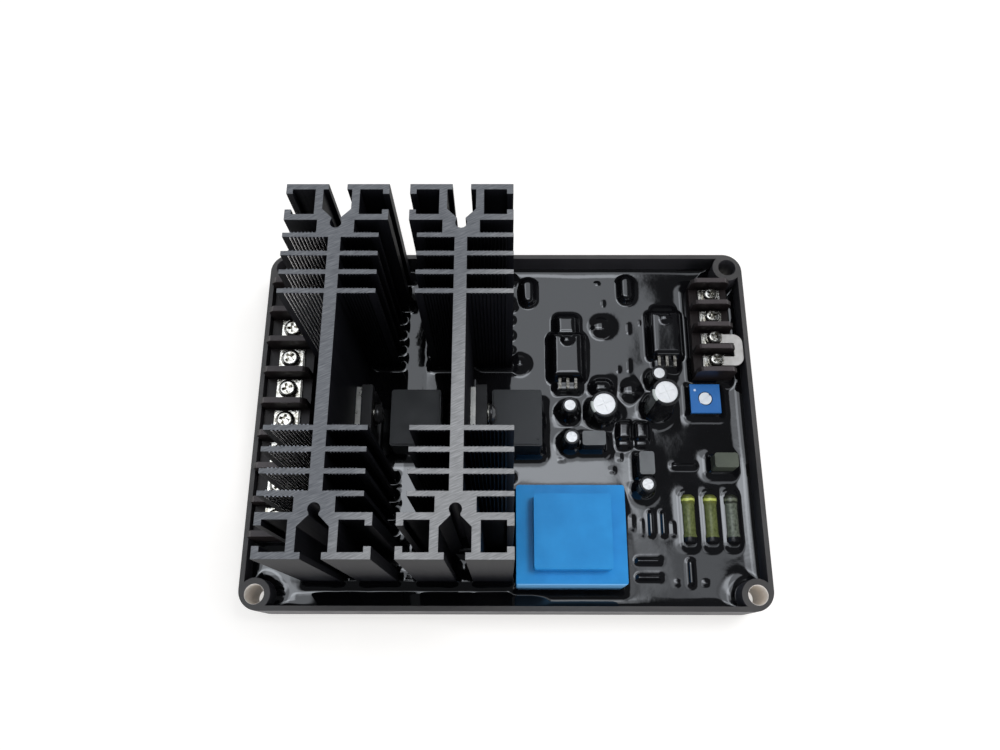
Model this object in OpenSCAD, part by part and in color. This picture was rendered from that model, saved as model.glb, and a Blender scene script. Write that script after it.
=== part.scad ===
// Potted automatic voltage regulator for a generator: a shallow plastic tray
// filled with resin, two tall extruded heatsinks, two screw terminal strips and
// the board's larger components standing out of the resin.
// Origin: centre of the tray's underside. +X to the right strip, +Y to the rear, +Z up.

/* [Tray] */
// Outside depth of the tray
tray_d = 114; // [112:1:130]
// Outside height of the tray
tray_h = 16; // [14:0.5:22]
// Thickness of the side walls
tray_wall = 1.5; // [1.2:0.1:2.2]
// Thickness of the floor
tray_floor = 2; // [1.4:0.1:2.6]
// Outside corner radius
tray_corner_r = 6; // [4.5:0.5:8]
// Radius of the corner bosses
boss_r = 4.7; // [4.2:0.1:4.7]
// Radius of the mounting holes through the bosses
hole_r = 2.8; // [1.6:0.1:3.2]
// Distance from the tray's outside to each hole's centre
hole_inset = 4.7; // [4.2:0.1:4.8]

/* [Board and resin] */
// Width of the components' field, from the right heatsink to the tray's right wall
field_w = 74; // [72:0.5:96]
// Thickness of the circuit board
board_t = 1.6; // [1:0.1:2.4]
// Space under the board
board_lift = 1.4; // [0.8:0.1:2]
// Space between the board's edge and the tray
board_margin = 1; // [0.5:0.1:2]
// Depth of resin over the board
resin_over = 2.3; // [1.4:0.1:3]
// Space round each piece where it passes through the resin
resin_gap = 0.05; // [0.02:0.01:0.1]

/* [Heatsinks] */
// Height of the extrusions above the board
sink_h = 61; // [45:1:80]
// Space between the heatsinks and the tray's front wall
sink_front_gap = 7.2; // [6:0.1:9]
// Space between the heatsinks and the tray's rear wall
sink_rear_gap = 2.8; // [2:0.1:4]
// Width across the end flanges
sink_w = 28.2; // [26:0.1:29]
// Thickness of the middle web
web_t = 3.4; // [2.4:0.1:4.2]
// Thickness of the end bars
end_bar_t = 1.7; // [1.2:0.1:2.2]
// Opening between the two end bars
end_gap = 5; // [4:0.1:6]
// Thickness of the inner flange
inner_flange_t = 1.8; // [1.2:0.1:2.4]
// Distance from the end to the inner flange
inner_flange_at = 9.3; // [7:0.1:10]
// Width of the lips at the flange tips
lip_w = 1.8; // [1.2:0.1:2.4]
// Reach of the lips
lip_len = 1.4; // [0.8:0.1:2]
// Thickness of the two uprights at each end
upright_t = 2.2; // [1.6:0.1:2.8]
// Distance from the middle to each upright's centre
upright_at = 5; // [4.4:0.1:5.6]
// Width of the solid block behind each inner flange
block_w = 10.1; // [8:0.1:11]
// Distance from the end to the keyhole's wide mouth
key_mouth_at = 7.7; // [7:0.1:8.4]
// Width of the keyhole's neck
key_neck = 2.3; // [1.6:0.1:2.8]
// Radius of the keyhole's round end
key_r = 1.55; // [1.3:0.05:2]
// Distance from the end to the keyhole's centre
key_at = 11.9; // [11.4:0.1:12.6]
// Thickness of each fin
fin_t = 1.3; // [0.8:0.1:1.8]
// Distance from the end to the first fin's centre
fin_first = 15.6; // [15:0.1:16.4]
// Spacing of the fins
fin_pitch = 5.47; // [4.6:0.01:5.8]
// Fins at each end
fin_count = 4; // [2:1:5]
// How much shorter the fins are on their short side
fin_step = 2.3; // [0:0.1:3]
// Space between the left strip and the left heatsink
sink_gap = 1.4; // [0.8:0.1:3]
// Space between the two heatsinks
sink_between = 5.6; // [5:0.1:8]

/* [Power devices] */
// Width of the package
device_w = 15.6; // [14:0.1:16.4]
// Height of the package
device_h = 20; // [18:0.5:22]
// Thickness of the whole package
device_t = 4.8; // [4:0.1:5]
// Thickness of its metal tab
device_tab_t = 1.5; // [1:0.1:2]
// Underside of the package above the board
device_lift = 4.6; // [3:0.1:6]
// Distance from the package's top to its screw
device_hole_drop = 5; // [4.6:0.1:6]
// Radius of the fixing screw's shank
device_screw_r = 1.5; // [1.2:0.05:1.6]
// Radius of the fixing screw's head
device_head_r = 3; // [2.5:0.1:3.4]
// Space round the shank in each hole
screw_gap = 0.15; // [0.1:0.05:0.25]

/* [Left terminal strip] */
// Ways in the left strip
left_ways = 8; // [4:1:8]
// Spacing of its ways
left_pitch = 10.16; // [9:0.01:10.2]
// Depth of the strip
left_depth = 14.2; // [12.5:0.1:14.4]
// Height of its dividers above the board
left_h = 16; // [14:0.5:20]
// Height of its contacts above the board
left_seat = 8.6; // [6:0.1:10]
// Thickness of its dividers
left_wall = 1.7; // [1.2:0.1:2]
// Space between the strip's rear end and the rear boss
left_end_gap = 1.11; // [0.3:0.01:3]
// Radius of its screw heads
left_head_r = 2.9; // [2.4:0.1:3.2]

/* [Right terminal strip] */
// Ways in the right strip
right_ways = 4; // [2:1:4]
// Spacing of its ways
right_pitch = 7.62; // [7:0.01:7.8]
// Depth of the strip
right_depth = 12.3; // [11.5:0.1:13]
// Height of its dividers above the board
right_h = 13.5; // [12:0.5:16]
// Height of its contacts above the board
right_seat = 7.4; // [6:0.1:8]
// Thickness of its dividers
right_wall = 1.4; // [1:0.1:1.6]
// Space between the strip's rear end and the rear boss
right_end_gap = 0.26; // [0.2:0.01:2]
// Radius of its screw heads
right_head_r = 2.4; // [2:0.1:2.5]

/* [Terminal parts] */
// Thickness of the fixed contacts
contact_t = 0.8; // [0.6:0.1:1]
// Thickness of the square clamp plates
clamp_t = 0.9; // [0.6:0.1:1.2]
// Depth of the left strip's clamp plates
left_clamp_depth = 7.6; // [6.5:0.1:8]
// Depth of the right strip's clamp plates
right_clamp_depth = 6.6; // [5.5:0.1:7]
// Space between the left strip and the tray's wall
strip_gap = 0.4; // [0.1:0.1:0.6]
// Space between the right strip and the tray's wall, for the link's bridge
right_strip_off = 3.4; // [3:0.1:4]
// Thickness of the link's metal
link_t = 0.8; // [0.6:0.1:1]
// Width of the link's arms
link_arm_w = 3; // [2.4:0.1:3.4]
// Space between the link's bridge and the tray's wall
link_clear = 0.2; // [0.1:0.05:0.5]
// Radius of the link's outer corners
link_corner_r = 3; // [1:0.1:4]

/* [Relays] */
// Width of a relay
relay_w = 15.2; // [14:0.1:15.4]
// Length of a relay
relay_len = 17.8; // [16:0.1:19]
// Height of a relay
relay_h = 15.4; // [12:0.1:18]
// Height of the relay's base under its cover
relay_base_h = 2; // [1.6:0.1:2.2]

/* [Transformer] */
// Width of the transformer's case
trafo_w = 31.5; // [29:0.5:32]
// Length of the transformer's case
trafo_len = 28.4; // [26:0.2:28.8]
// Height of the case's lower block
trafo_h = 19; // [15:0.5:24]
// Width of the raised block
trafo_top_w = 22; // [18:0.5:26]
// Length of the raised block
trafo_top_len = 21.1; // [18:0.5:24]
// Height of the raised block
trafo_top_h = 4.5; // [2:0.5:8]

/* [Trimmer] */
// Side of the trimmer's square body
trimmer_w = 9.53; // [9:0.01:10]
// Height of the body
trimmer_h = 5; // [4:0.1:6]
// Radius of the turning rotor
rotor_r = 2; // [1.6:0.1:2.6]
// Thickness of the rotor's head
rotor_t = 1.1; // [0.9:0.1:1.6]
// Space round the rotor
rotor_gap = 0.3; // [0.2:0.05:0.5]
// Radius of the rotor's stem
stem_r = 0.9; // [0.6:0.1:1.2]
// Running clearance round the stem
stem_gap = 0.06; // [0.03:0.01:0.1]

/* [Capacitors] */
// Outside radius of the large capacitors
large_can_r = 4.3; // [3.8:0.1:4.4]
// Height of the large capacitor in the middle
middle_can_h = 12.5; // [10:0.5:16]
// Height of the tall capacitor
tall_can_h = 20.5; // [16:0.5:24]
// Outside radius of the small capacitors
small_can_r = 2.6; // [2.2:0.1:2.8]
// Height of the small capacitors
small_can_h = 11; // [9:0.5:13]
// Thickness of the plastic sleeves
sleeve_t = 0.25; // [0.2:0.05:0.4]
// Width of the sleeve's rolled rim on top
sleeve_rim = 0.9; // [0.6:0.1:1.2]
// Length of a film capacitor's box
film_len = 7.2; // [6.5:0.1:7.4]
// Width of a film capacitor's box
film_w = 4.6; // [4:0.1:5]
// Height of a film capacitor's box
film_h = 9.5; // [7:0.5:11]

/* [Small components] */
// Width of a flat transistor
transistor_w = 10; // [9.4:0.1:10.4]
// Length of its tab
transistor_len = 15.8; // [14:0.1:16.6]
// Bare end of its tab, behind the body
transistor_tab_end = 0.5; // [0.3:0.1:0.8]
// Thickness of its tab
transistor_tab_t = 1.3; // [1:0.1:1.6]
// Thickness of its whole package
transistor_t = 4.4; // [4:0.1:4.8]
// Height of its tab above the board
transistor_lift = 1.6; // [1:0.1:2]
// Radius of the diodes
diode_r = 2.05; // [1.8:0.05:2.2]
// Length of the diodes
diode_len = 7.8; // [7:0.1:8.2]
// Radius of the power resistors
resistor_r = 2.2; // [1.8:0.1:2.4]
// Length of the power resistors
resistor_len = 15; // [13:0.5:15.5]
// Radius of the component wires
wire_r = 0.4; // [0.3:0.05:0.5]

/* [Hidden] */
$fn = 48;

// Levels up from the tray's underside
board_z = tray_floor + board_lift;
top_z = board_z + board_t;
resin_z = top_z + resin_over;

// The tray is as wide as the strip, the heatsinks and the field side by side
inside_w = strip_gap + left_depth + sink_gap + 2 * sink_w + sink_between + field_w;
inside_d = tray_d - 2 * tray_wall;
tray_w = inside_w + 2 * tray_wall;
hole_x = tray_w / 2 - hole_inset;
hole_y = tray_d / 2 - hole_inset;

// The strips stand along the tray's side walls, their rear ends at the bosses
left_len = left_ways * left_pitch + left_wall;
right_len = right_ways * right_pitch + right_wall;
left_strip_x = -inside_w / 2 + strip_gap + left_depth / 2;
right_strip_x = inside_w / 2 - right_strip_off - right_depth / 2;
left_y = hole_y - boss_r - left_end_gap - left_len / 2;
right_y = hole_y - boss_r - right_end_gap - right_len / 2;
left_screw_off = 0.2;
right_screw_off = 0.3;
link_z = top_z + right_seat + contact_t + clamp_t;

// Terminal screws
terminal_shank_r = 1.5;
terminal_shank_len = 5;
terminal_head_h = 2;
clamp_margin = 0.5;
clamp_inset = 0.6;
contact_margin = 0.4;
shank_end_gap = 0.2;
divider_chamfer = 1.6;
fork_tip = 0.6;
link_slot_past = 0.3;

// The heatsinks stand between the left strip and the components' field
sink_len = inside_d - sink_front_gap - sink_rear_gap;
sink_y = (sink_front_gap - sink_rear_gap) / 2;
sink_left_x = left_strip_x + left_depth / 2 + sink_gap + sink_w / 2;
sink_right_x = sink_left_x + sink_w + sink_between;
field_x = sink_right_x + sink_w / 2;

// The devices stand on the right face of each web
device_y = sink_y - 2.8;
device_z = top_z + device_lift;
device_screw_z = device_z + device_h - device_hole_drop;
device_lead_pitch = 5.45;
device_lead_w = 1.2;
device_lead_t = 0.6;
device_notch_r = 1.8;
device_tab_margin = 0.8;
washer_r = 3.5;
washer_t = 0.6;
nut_r = 3.2;
nut_t = 2.4;
device_head_h = 2.2;

// The relays stand in front of the devices
relay_y = sink_y - 2.5;
relay_left_at = [sink_left_x + 18.4, relay_y];
relay_right_at = [sink_right_x + 15.5, relay_y];

// Places in the components' field, drawn for a field of this size and spread with it.
// X is measured from the right heatsink, Y from the tray's middle
field_drawn = [74, 111];
function spread(x, y) = [field_x + x * field_w / field_drawn[0], y * inside_d / field_drawn[1]];
trafo_gap = 0.95;
trafo_at = [field_x + trafo_gap + trafo_w / 2, spread(0, -36.1)[1]];
trafo_small_gap = 8.7;
trimmer_gap = 1.7;
trimmer_at = [spread(61.7, 0)[0], right_y - right_len / 2 - trimmer_gap - trimmer_w / 2];
middle_can_at = spread(28.5, 4.9);
tall_can_at = spread(46.3, 6.2);
film_middle_at = spread(25.3, -5.2);
film_right_at = spread(65.6, -12.1);
film_rear_at = spread(29.1, 13.2);
dipped_left_at = spread(5.4, 46.9);
dipped_right_at = spread(38.4, 48.1);
disc_rear_at = spread(29.6, 34.8);
disc_right_at = spread(38.5, 12.4);
transistor_left_at = spread(18, 23.9);
diodes_at = [spread(35.6, -2.4), spread(41.2, -2.4)];
resistors_at = [spread(54.2, -29.2), spread(61, -29.2), spread(67.4, -29.2)];

// The front film box follows the right diode, and a small can follows that box
film_front_at = [spread(41.2, 0)[0], diodes_at[1][1] - 10.6];
front_can_at = [spread(40.9, 0)[0], film_front_at[1] - 6.9];
small_cans_at = [spread(18, 5), spread(18.3, -5.2), spread(46.4, 15.6), front_can_at];

// The left disc stands by the heatsink, and the right transistor by the right strip
disc_left_r = 2.2;
disc_gap = 0.3;
disc_left_at = [field_x + disc_gap + disc_left_r, spread(0, 21.7)[1]];
transistor_gap = 2.9;
transistor_right_at = [right_strip_x - right_depth / 2 - transistor_gap - transistor_w / 2, spread(0, 31.6)[1]];

// Each small resistor: centre and turn about the vertical. Two lie beside the transformer
beside_trafo = trafo_at[0] + trafo_w / 2 + trafo_small_gap;
small_resistors_at = [
  [spread(42.6, -30.5), 0], [spread(46.4, -30.5), 0],
  [[beside_trafo, spread(0, -41.7)[1]], 90], [[beside_trafo, spread(0, -46.6)[1]], 90],
  [spread(53.8, -45.2), 0], [spread(54, -12.4), 90]
];

// Sizes of the smaller shapes
case_corner_r = 0.8;
relay_top_inset = 0.5;
relay_top_h = 0.4;
relay_vent_r = 0.6;
relay_vent_depth = 0.3;
relay_vent_in = 1.5;
trafo_top_off = [0.2, 0.3];
stem_len = 2.4;
rotor_slot_w = 0.7;
rotor_slot_depth = 0.6;
rotor_slot_turn = 40;
can_gap = 0.05;
vent_w = 0.35;
vent_depth = 0.2;
vent_turn = 20;
sleeve_edge = 0.3;
film_rear_size = [5.8, 4.6, 4.2];
dipped_w = 4;
dipped_len = 8.6;
dipped_h = 4.6;
disc_h = 3.4;
disc_edge = 0.7;
disc_rear_r = 2.6;
disc_right_r = 2.7;
lead_pitch = 2.54;
lead_w = 0.9;
lead_t = 0.5;
lead_reach = 3.6;
lead_z = 2.6;
transistor_hole_r = 1.8;
transistor_hole_in = 3.1;
small_r = 1.15;
small_len = 6.3;
small_lift = 0.6;
wire_reach = 1.4;
tall_cut = 30;

// Block with round upright corners, standing on z = 0
module rounded_plate(size_x, size_y, height, corner_r) {
  linear_extrude(height) {
    square([size_x - 2 * corner_r, size_y], center = true);
    square([size_x, size_y - 2 * corner_r], center = true);
    for (x = [-1, 1], y = [-1, 1])
      translate([x * (size_x / 2 - corner_r), y * (size_y / 2 - corner_r)]) circle(corner_r);
  }
}

// Anything repeated at the four mounting holes
module at_holes() {
  for (x = [-1, 1], y = [-1, 1])
    translate([x * hole_x, y * hole_y, 0]) children();
}

// The tray's hollow, less its bosses, with all sides drawn in by a margin
module hollow(height, margin) {
  difference() {
    rounded_plate(inside_w - 2 * margin, inside_d - 2 * margin, height, tray_corner_r - tray_wall);
    at_holes() translate([0, 0, -1]) cylinder(h = height + 2, r = boss_r + margin);
  }
}

module tray() {
  color("#2b2b2d") difference() {
    rounded_plate(tray_w, tray_d, tray_h, tray_corner_r);
    translate([0, 0, tray_floor]) hollow(tray_h, 0);
    at_holes() translate([0, 0, -1]) cylinder(h = tray_h + 2, r = hole_r);
  }
}

module circuit_board() {
  color("#1f5a35") translate([0, 0, board_z]) hollow(board_t, board_margin);
}

// Square hole in the resin for a footprint, up from the board
module pocket(place, size, height = tall_cut) {
  translate([place[0] - size[0] / 2 - resin_gap, place[1] - size[1] / 2 - resin_gap, 0])
    cube([size[0] + 2 * resin_gap, size[1] + 2 * resin_gap, height]);
}

// Round hole in the resin
module round_pocket(place, radius) {
  translate([place[0], place[1], 0]) cylinder(h = tall_cut, r = radius + resin_gap);
}

// Resin poured over the board and round everything that stands on it
module potting() {
  color("#0d0d10") difference() {
    translate([0, 0, tray_floor]) hollow(resin_z - tray_floor, resin_gap);
    translate([0, 0, board_z]) hollow(board_t, board_margin);
    translate([0, 0, top_z]) {
      translate([sink_left_x, sink_y, 0]) mirror([1, 0, 0]) linear_extrude(tall_cut) sink_profile(resin_gap);
      translate([sink_right_x, sink_y, 0]) linear_extrude(tall_cut) sink_profile(resin_gap);
      pocket([left_strip_x, left_y], [left_depth, left_len]);
      pocket([right_strip_x, right_y], [right_depth, right_len]);
      pocket(relay_left_at, [relay_w, relay_len]);
      pocket(relay_right_at, [relay_w, relay_len]);
      pocket(trafo_at, [trafo_w, trafo_len]);
      pocket(trimmer_at, [trimmer_w, trimmer_w]);
      round_pocket(middle_can_at, large_can_r);
      round_pocket(tall_can_at, large_can_r);
      for (place = small_cans_at) round_pocket(place, small_can_r);
      pocket(film_middle_at, [film_len, film_w]);
      pocket(film_front_at, [film_w, film_len]);
      pocket(film_right_at, [film_len, film_w]);
      pocket(film_rear_at, film_rear_size);
      translate(dipped_left_at) dipped_shape(resin_gap, tall_cut);
      translate(dipped_right_at) dipped_shape(resin_gap, tall_cut);
      round_pocket(disc_left_at, disc_left_r);
      round_pocket(disc_rear_at, disc_rear_r);
      round_pocket(disc_right_at, disc_right_r);
      for (place = [transistor_left_at, transistor_right_at]) {
        translate([place[0], place[1], transistor_lift - resin_gap]) transistor_tab(resin_gap);
        for (k = [-1 : 1])
          pocket(place + [k * lead_pitch, lead_t / 2 - transistor_len / 2 - lead_reach], [lead_w, lead_t]);
      }
      for (place = diodes_at) translate([place[0], place[1], diode_r]) {
        axial_body(diode_r, diode_len, resin_gap);
        bent_wires(diode_r, diode_len, resin_gap);
      }
      for (place = resistors_at) translate([place[0], place[1], resistor_r]) {
        axial_body(resistor_r, resistor_len, resin_gap);
        bent_wires(resistor_r, resistor_len, resin_gap);
      }
      at_small_resistors() {
        axial_body(small_r, small_len, resin_gap);
        bent_wires(small_r + small_lift, small_len, resin_gap);
      }
      for (x = [sink_left_x, sink_right_x], k = [-1 : 1])
        pocket([x + web_t / 2 + device_tab_t + device_lead_t / 2, device_y + k * device_lead_pitch],
               [device_lead_t, device_lead_w]);
    }
  }
}

// Flat bar of the extrusion's section between two corners, grown on all sides
module bar(low, high, grow) {
  translate([low[0] - grow, low[1] - grow])
    square([high[0] - low[0] + 2 * grow, high[1] - low[1] + 2 * grow]);
}

// One end of the section, drawn at the rear with the long fins to the right
module sink_end(grow) {
  end = sink_len / 2;
  flange_top = end - inner_flange_at;
  flange_low = flange_top - inner_flange_t;
  for (side = [0, 1]) mirror([side, 0]) {
    bar([end_gap / 2, end - end_bar_t], [sink_w / 2, end], grow);
    bar([sink_w / 2 - lip_w, end - end_bar_t - lip_len], [sink_w / 2, end], grow);
    bar([upright_at - upright_t / 2, flange_low], [upright_at + upright_t / 2, end], grow);
    bar([0, flange_low], [sink_w / 2, flange_top], grow);
    bar([sink_w / 2 - lip_w, flange_low], [sink_w / 2, flange_top + lip_len], grow);
  }
  bar([-upright_at, flange_low], [upright_at, end - key_mouth_at], grow);
  bar([-block_w / 2, end - fin_first], [block_w / 2, flange_top], grow);
  for (k = [0 : fin_count - 1]) {
    fin_y = end - fin_first - k * fin_pitch;
    bar([fin_step - sink_w / 2, fin_y - fin_t / 2], [sink_w / 2, fin_y + fin_t / 2], grow);
  }
}

// Keyhole between the uprights: 45 degree mouth, neck and round end
module keyhole() {
  end = sink_len / 2;
  mouth = upright_at - upright_t / 2;
  polygon([
    [-mouth, end - key_mouth_at], [mouth, end - key_mouth_at],
    [key_neck / 2, end - key_mouth_at - mouth + key_neck / 2],
    [-key_neck / 2, end - key_mouth_at - mouth + key_neck / 2]
  ]);
  translate([-key_neck / 2, end - key_at]) square([key_neck, key_at - key_mouth_at]);
  translate([0, end - key_at]) circle(key_r);
}

// Whole section of a heatsink; the resin's cut is the same section grown, without keyholes
module sink_profile(grow = 0) {
  difference() {
    union() {
      bar([-web_t / 2, -sink_len / 2 + fin_first], [web_t / 2, sink_len / 2 - fin_first], grow);
      for (turn = [0, 1]) mirror([0, turn]) sink_end(grow);
    }
    if (grow == 0)
      for (turn = [0, 1]) mirror([0, turn]) keyhole();
  }
}

// A heatsink standing on the board, with the fixing screw's hole through its web
module heatsink(place_x, long_side) {
  color("#1b1c20") translate([place_x, sink_y, top_z]) difference() {
    mirror([long_side < 0 ? 1 : 0, 0, 0]) linear_extrude(sink_h) sink_profile();
    translate([-web_t, device_y - sink_y, device_screw_z - top_z]) rotate([0, 90, 0])
      cylinder(h = 2 * web_t, r = device_screw_r + screw_gap);
  }
}

module heatsink_left() { heatsink(sink_left_x, -1); }

module heatsink_right() { heatsink(sink_right_x, 1); }

// Frame of one power device: x = 0 on the web's face, z = 0 at the package's underside
module at_device(sink_x) {
  translate([sink_x + web_t / 2, device_y, device_z]) children();
}

// Hole along X for the device's screw
module device_hole() {
  translate([-1, 0, device_h - device_hole_drop]) rotate([0, 90, 0])
    cylinder(h = device_t + 2, r = device_screw_r + screw_gap);
}

module device_body(sink_x) {
  color("#18191b") at_device(sink_x) difference() {
    translate([device_tab_t, -device_w / 2, 0]) cube([device_t - device_tab_t, device_w, device_h]);
    device_hole();
    for (side = [-1, 1])
      translate([-1, side * device_w / 2, device_h - device_hole_drop]) rotate([0, 90, 0])
        cylinder(h = device_t + 2, r = device_notch_r);
  }
}

module device_leadframe(sink_x) {
  color("#b9b6ae") at_device(sink_x) {
    difference() {
      translate([0, device_tab_margin - device_w / 2, 0])
        cube([device_tab_t, device_w - 2 * device_tab_margin, device_h]);
      device_hole();
    }
    for (k = [-1 : 1])
      translate([device_tab_t, k * device_lead_pitch - device_lead_w / 2, -device_lift])
        cube([device_lead_t, device_lead_w, device_lift]);
  }
}

module device_left_body() { device_body(sink_left_x); }

module device_left_leadframe() { device_leadframe(sink_left_x); }

module device_right_body() { device_body(sink_right_x); }

module device_right_leadframe() { device_leadframe(sink_right_x); }

// Axis of each device's screw, with x = 0 on the package's front
module at_device_screws() {
  for (x = [sink_left_x, sink_right_x])
    translate([x + web_t / 2 + device_t, device_y, device_screw_z]) rotate([0, 90, 0]) children();
}

// Pan head over z = 0, with a crossed recess
module pan_head(radius, height) {
  difference() {
    rotate_extrude()
      polygon([[0, 0], [radius, 0], [radius, height * 0.45], [radius * 0.72, height * 0.88], [0, height]]);
    for (turn = [0, 90])
      rotate(turn) translate([-radius * 0.55, -radius * 0.13, height * 0.45])
        cube([radius * 1.1, radius * 0.26, height]);
  }
}

module device_screws() {
  color("#202124") at_device_screws() {
    translate([0, 0, washer_t]) pan_head(device_head_r, device_head_h);
    translate([0, 0, -device_t - web_t - nut_t]) cylinder(h = device_t + web_t + nut_t + washer_t, r = device_screw_r);
  }
}

module device_washers() {
  color("silver") at_device_screws() difference() {
    cylinder(h = washer_t, r = washer_r);
    translate([0, 0, -1]) cylinder(h = washer_t + 2, r = device_screw_r + screw_gap);
  }
}

module device_nuts() {
  color("silver") at_device_screws() translate([0, 0, -device_t - web_t - nut_t]) difference() {
    cylinder(h = nut_t, r = nut_r, $fn = 6);
    translate([0, 0, -1]) cylinder(h = nut_t + 2, r = device_screw_r + screw_gap);
  }
}

// Middle of each way of a strip, from the front
module at_ways(ways, pitch) {
  for (k = [0 : ways - 1]) translate([0, (k - (ways - 1) / 2) * pitch, 0]) children();
}

// Strip moulding standing on z = 0: a seat for the contacts and a divider beside each way
module strip_body(ways, pitch, depth, height, seat, wall, screw_off) {
  length = ways * pitch + wall;
  difference() {
    union() {
      translate([-depth / 2, -length / 2, 0]) cube([depth, length, seat]);
      for (k = [0 : ways])
        translate([0, (k - ways / 2) * pitch + wall / 2, 0]) rotate([90, 0, 0]) linear_extrude(wall)
          polygon([
            [-depth / 2, 0], [depth / 2, 0], [depth / 2, height - divider_chamfer],
            [depth / 2 - divider_chamfer, height], [divider_chamfer - depth / 2, height],
            [-depth / 2, height - divider_chamfer]
          ]);
    }
    at_ways(ways, pitch) translate([screw_off, 0, seat + contact_t + clamp_t - terminal_shank_len - shank_end_gap])
      cylinder(h = terminal_shank_len + 1, r = terminal_shank_r + screw_gap);
  }
}

// Square plates of a strip, one a way, with their screw holes
module strip_plates(ways, pitch, wall, plate_depth, thickness) {
  at_ways(ways, pitch) difference() {
    translate([-plate_depth / 2, -(pitch - wall) / 2 + clamp_margin, 0])
      cube([plate_depth, pitch - wall - 2 * clamp_margin, thickness]);
    translate([0, 0, -1]) cylinder(h = thickness + 2, r = terminal_shank_r + screw_gap);
  }
}

// A terminal screw with its head over z = 0; a lift is metal held under the head
module terminal_screw(head_r, lift) {
  translate([0, 0, lift]) pan_head(head_r, terminal_head_h);
  translate([0, 0, -terminal_shank_len]) cylinder(h = terminal_shank_len + lift, r = terminal_shank_r);
}

module at_left_strip(height) {
  translate([left_strip_x, left_y, top_z + height]) children();
}

module left_strip_body() {
  color("#201c1a") at_left_strip(0)
    strip_body(left_ways, left_pitch, left_depth, left_h, left_seat, left_wall, left_screw_off);
}

module left_strip_contacts() {
  color("#c9c7bf") at_left_strip(left_seat) translate([left_screw_off, 0, 0])
    strip_plates(left_ways, left_pitch, left_wall, left_clamp_depth + contact_margin, contact_t);
}

module left_strip_clamps() {
  color("#d6d4cc") at_left_strip(left_seat + contact_t) translate([left_screw_off, 0, 0])
    strip_plates(left_ways, left_pitch, left_wall + clamp_inset, left_clamp_depth, clamp_t);
}

module left_strip_screws() {
  color("#e2e0d8") at_left_strip(left_seat + contact_t + clamp_t) translate([left_screw_off, 0, 0])
    at_ways(left_ways, left_pitch) terminal_screw(left_head_r, 0);
}

module at_right_strip(height) {
  translate([right_strip_x, right_y, top_z + height]) children();
}

module right_strip_body() {
  color("#1c1c1e") at_right_strip(0)
    strip_body(right_ways, right_pitch, right_depth, right_h, right_seat, right_wall, right_screw_off);
}

module right_strip_contacts() {
  color("#c9c7bf") at_right_strip(right_seat) translate([right_screw_off, 0, 0])
    strip_plates(right_ways, right_pitch, right_wall, right_clamp_depth + contact_margin, contact_t);
}

module right_strip_clamps() {
  color("#d6d4cc") at_right_strip(right_seat + contact_t) translate([right_screw_off, 0, 0])
    strip_plates(right_ways, right_pitch, right_wall + clamp_inset, right_clamp_depth, clamp_t);
}

// The two front screws stand on the link, the others on their clamps
module right_strip_screws() {
  color("#e2e0d8") at_right_strip(right_seat + contact_t + clamp_t) translate([right_screw_off, 0, 0])
    for (k = [0 : right_ways - 1])
      translate([0, (k - (right_ways - 1) / 2) * right_pitch, 0])
        terminal_screw(right_head_r, k < 2 ? link_t : 0);
}

// Flat U-shaped link: two forked arms under the front screws, joined past the divider's end
module terminal_link() {
  screw_x = right_strip_x + right_screw_off;
  arm_end = screw_x - terminal_shank_r - fork_tip;
  slot_end = right_strip_x + right_depth / 2 + link_slot_past;
  outer_x = inside_w / 2 - link_clear;
  middle_y = right_y - (right_ways - 2) / 2 * right_pitch;
  total = right_pitch + link_arm_w;
  color("#dcdad2") translate([0, middle_y, link_z]) linear_extrude(link_t) difference() {
    union() {
      translate([arm_end, -total / 2]) square([outer_x - link_corner_r - arm_end, total]);
      translate([arm_end, link_corner_r - total / 2]) square([outer_x - arm_end, total - 2 * link_corner_r]);
      for (side = [-1, 1])
        translate([outer_x - link_corner_r, side * (total / 2 - link_corner_r)]) circle(link_corner_r);
    }
    translate([arm_end - 1, (link_arm_w - right_pitch) / 2])
      square([slot_end - arm_end + 1, right_pitch - link_arm_w]);
    for (side = [-1, 1]) translate([screw_x, side * right_pitch / 2]) {
      circle(terminal_shank_r + screw_gap);
      translate([arm_end - screw_x - 1, -terminal_shank_r - screw_gap])
        square([screw_x - arm_end + 1, 2 * (terminal_shank_r + screw_gap)]);
    }
  }
}

// Cover with a raised top, and a small round vent by its front right corner
module relay_cover(place) {
  shoulder = relay_h - relay_base_h - relay_top_h;
  color("#3a3c40") translate([place[0], place[1], top_z + relay_base_h]) difference() {
    union() {
      rounded_plate(relay_w, relay_len, shoulder, case_corner_r);
      translate([0, 0, shoulder])
        rounded_plate(relay_w - 2 * relay_top_inset, relay_len - 2 * relay_top_inset, relay_top_h, case_corner_r);
    }
    translate([relay_w / 2 - relay_vent_in, relay_vent_in - relay_len / 2, shoulder + relay_top_h - relay_vent_depth])
      cylinder(h = 1, r = relay_vent_r);
  }
}

module relay_base(place) {
  color("#232426") translate([place[0], place[1], top_z])
    rounded_plate(relay_w, relay_len, relay_base_h, case_corner_r);
}

module relay_left_cover() { relay_cover(relay_left_at); }

module relay_left_base() { relay_base(relay_left_at); }

module relay_right_cover() { relay_cover(relay_right_at); }

module relay_right_base() { relay_base(relay_right_at); }

// Moulded case in two steps
module transformer() {
  color("#2f86c9") translate([trafo_at[0], trafo_at[1], top_z]) {
    rounded_plate(trafo_w, trafo_len, trafo_h, case_corner_r);
    translate([trafo_top_off[0], trafo_top_off[1], trafo_h])
      rounded_plate(trafo_top_w, trafo_top_len, trafo_top_h, case_corner_r);
  }
}

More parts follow.
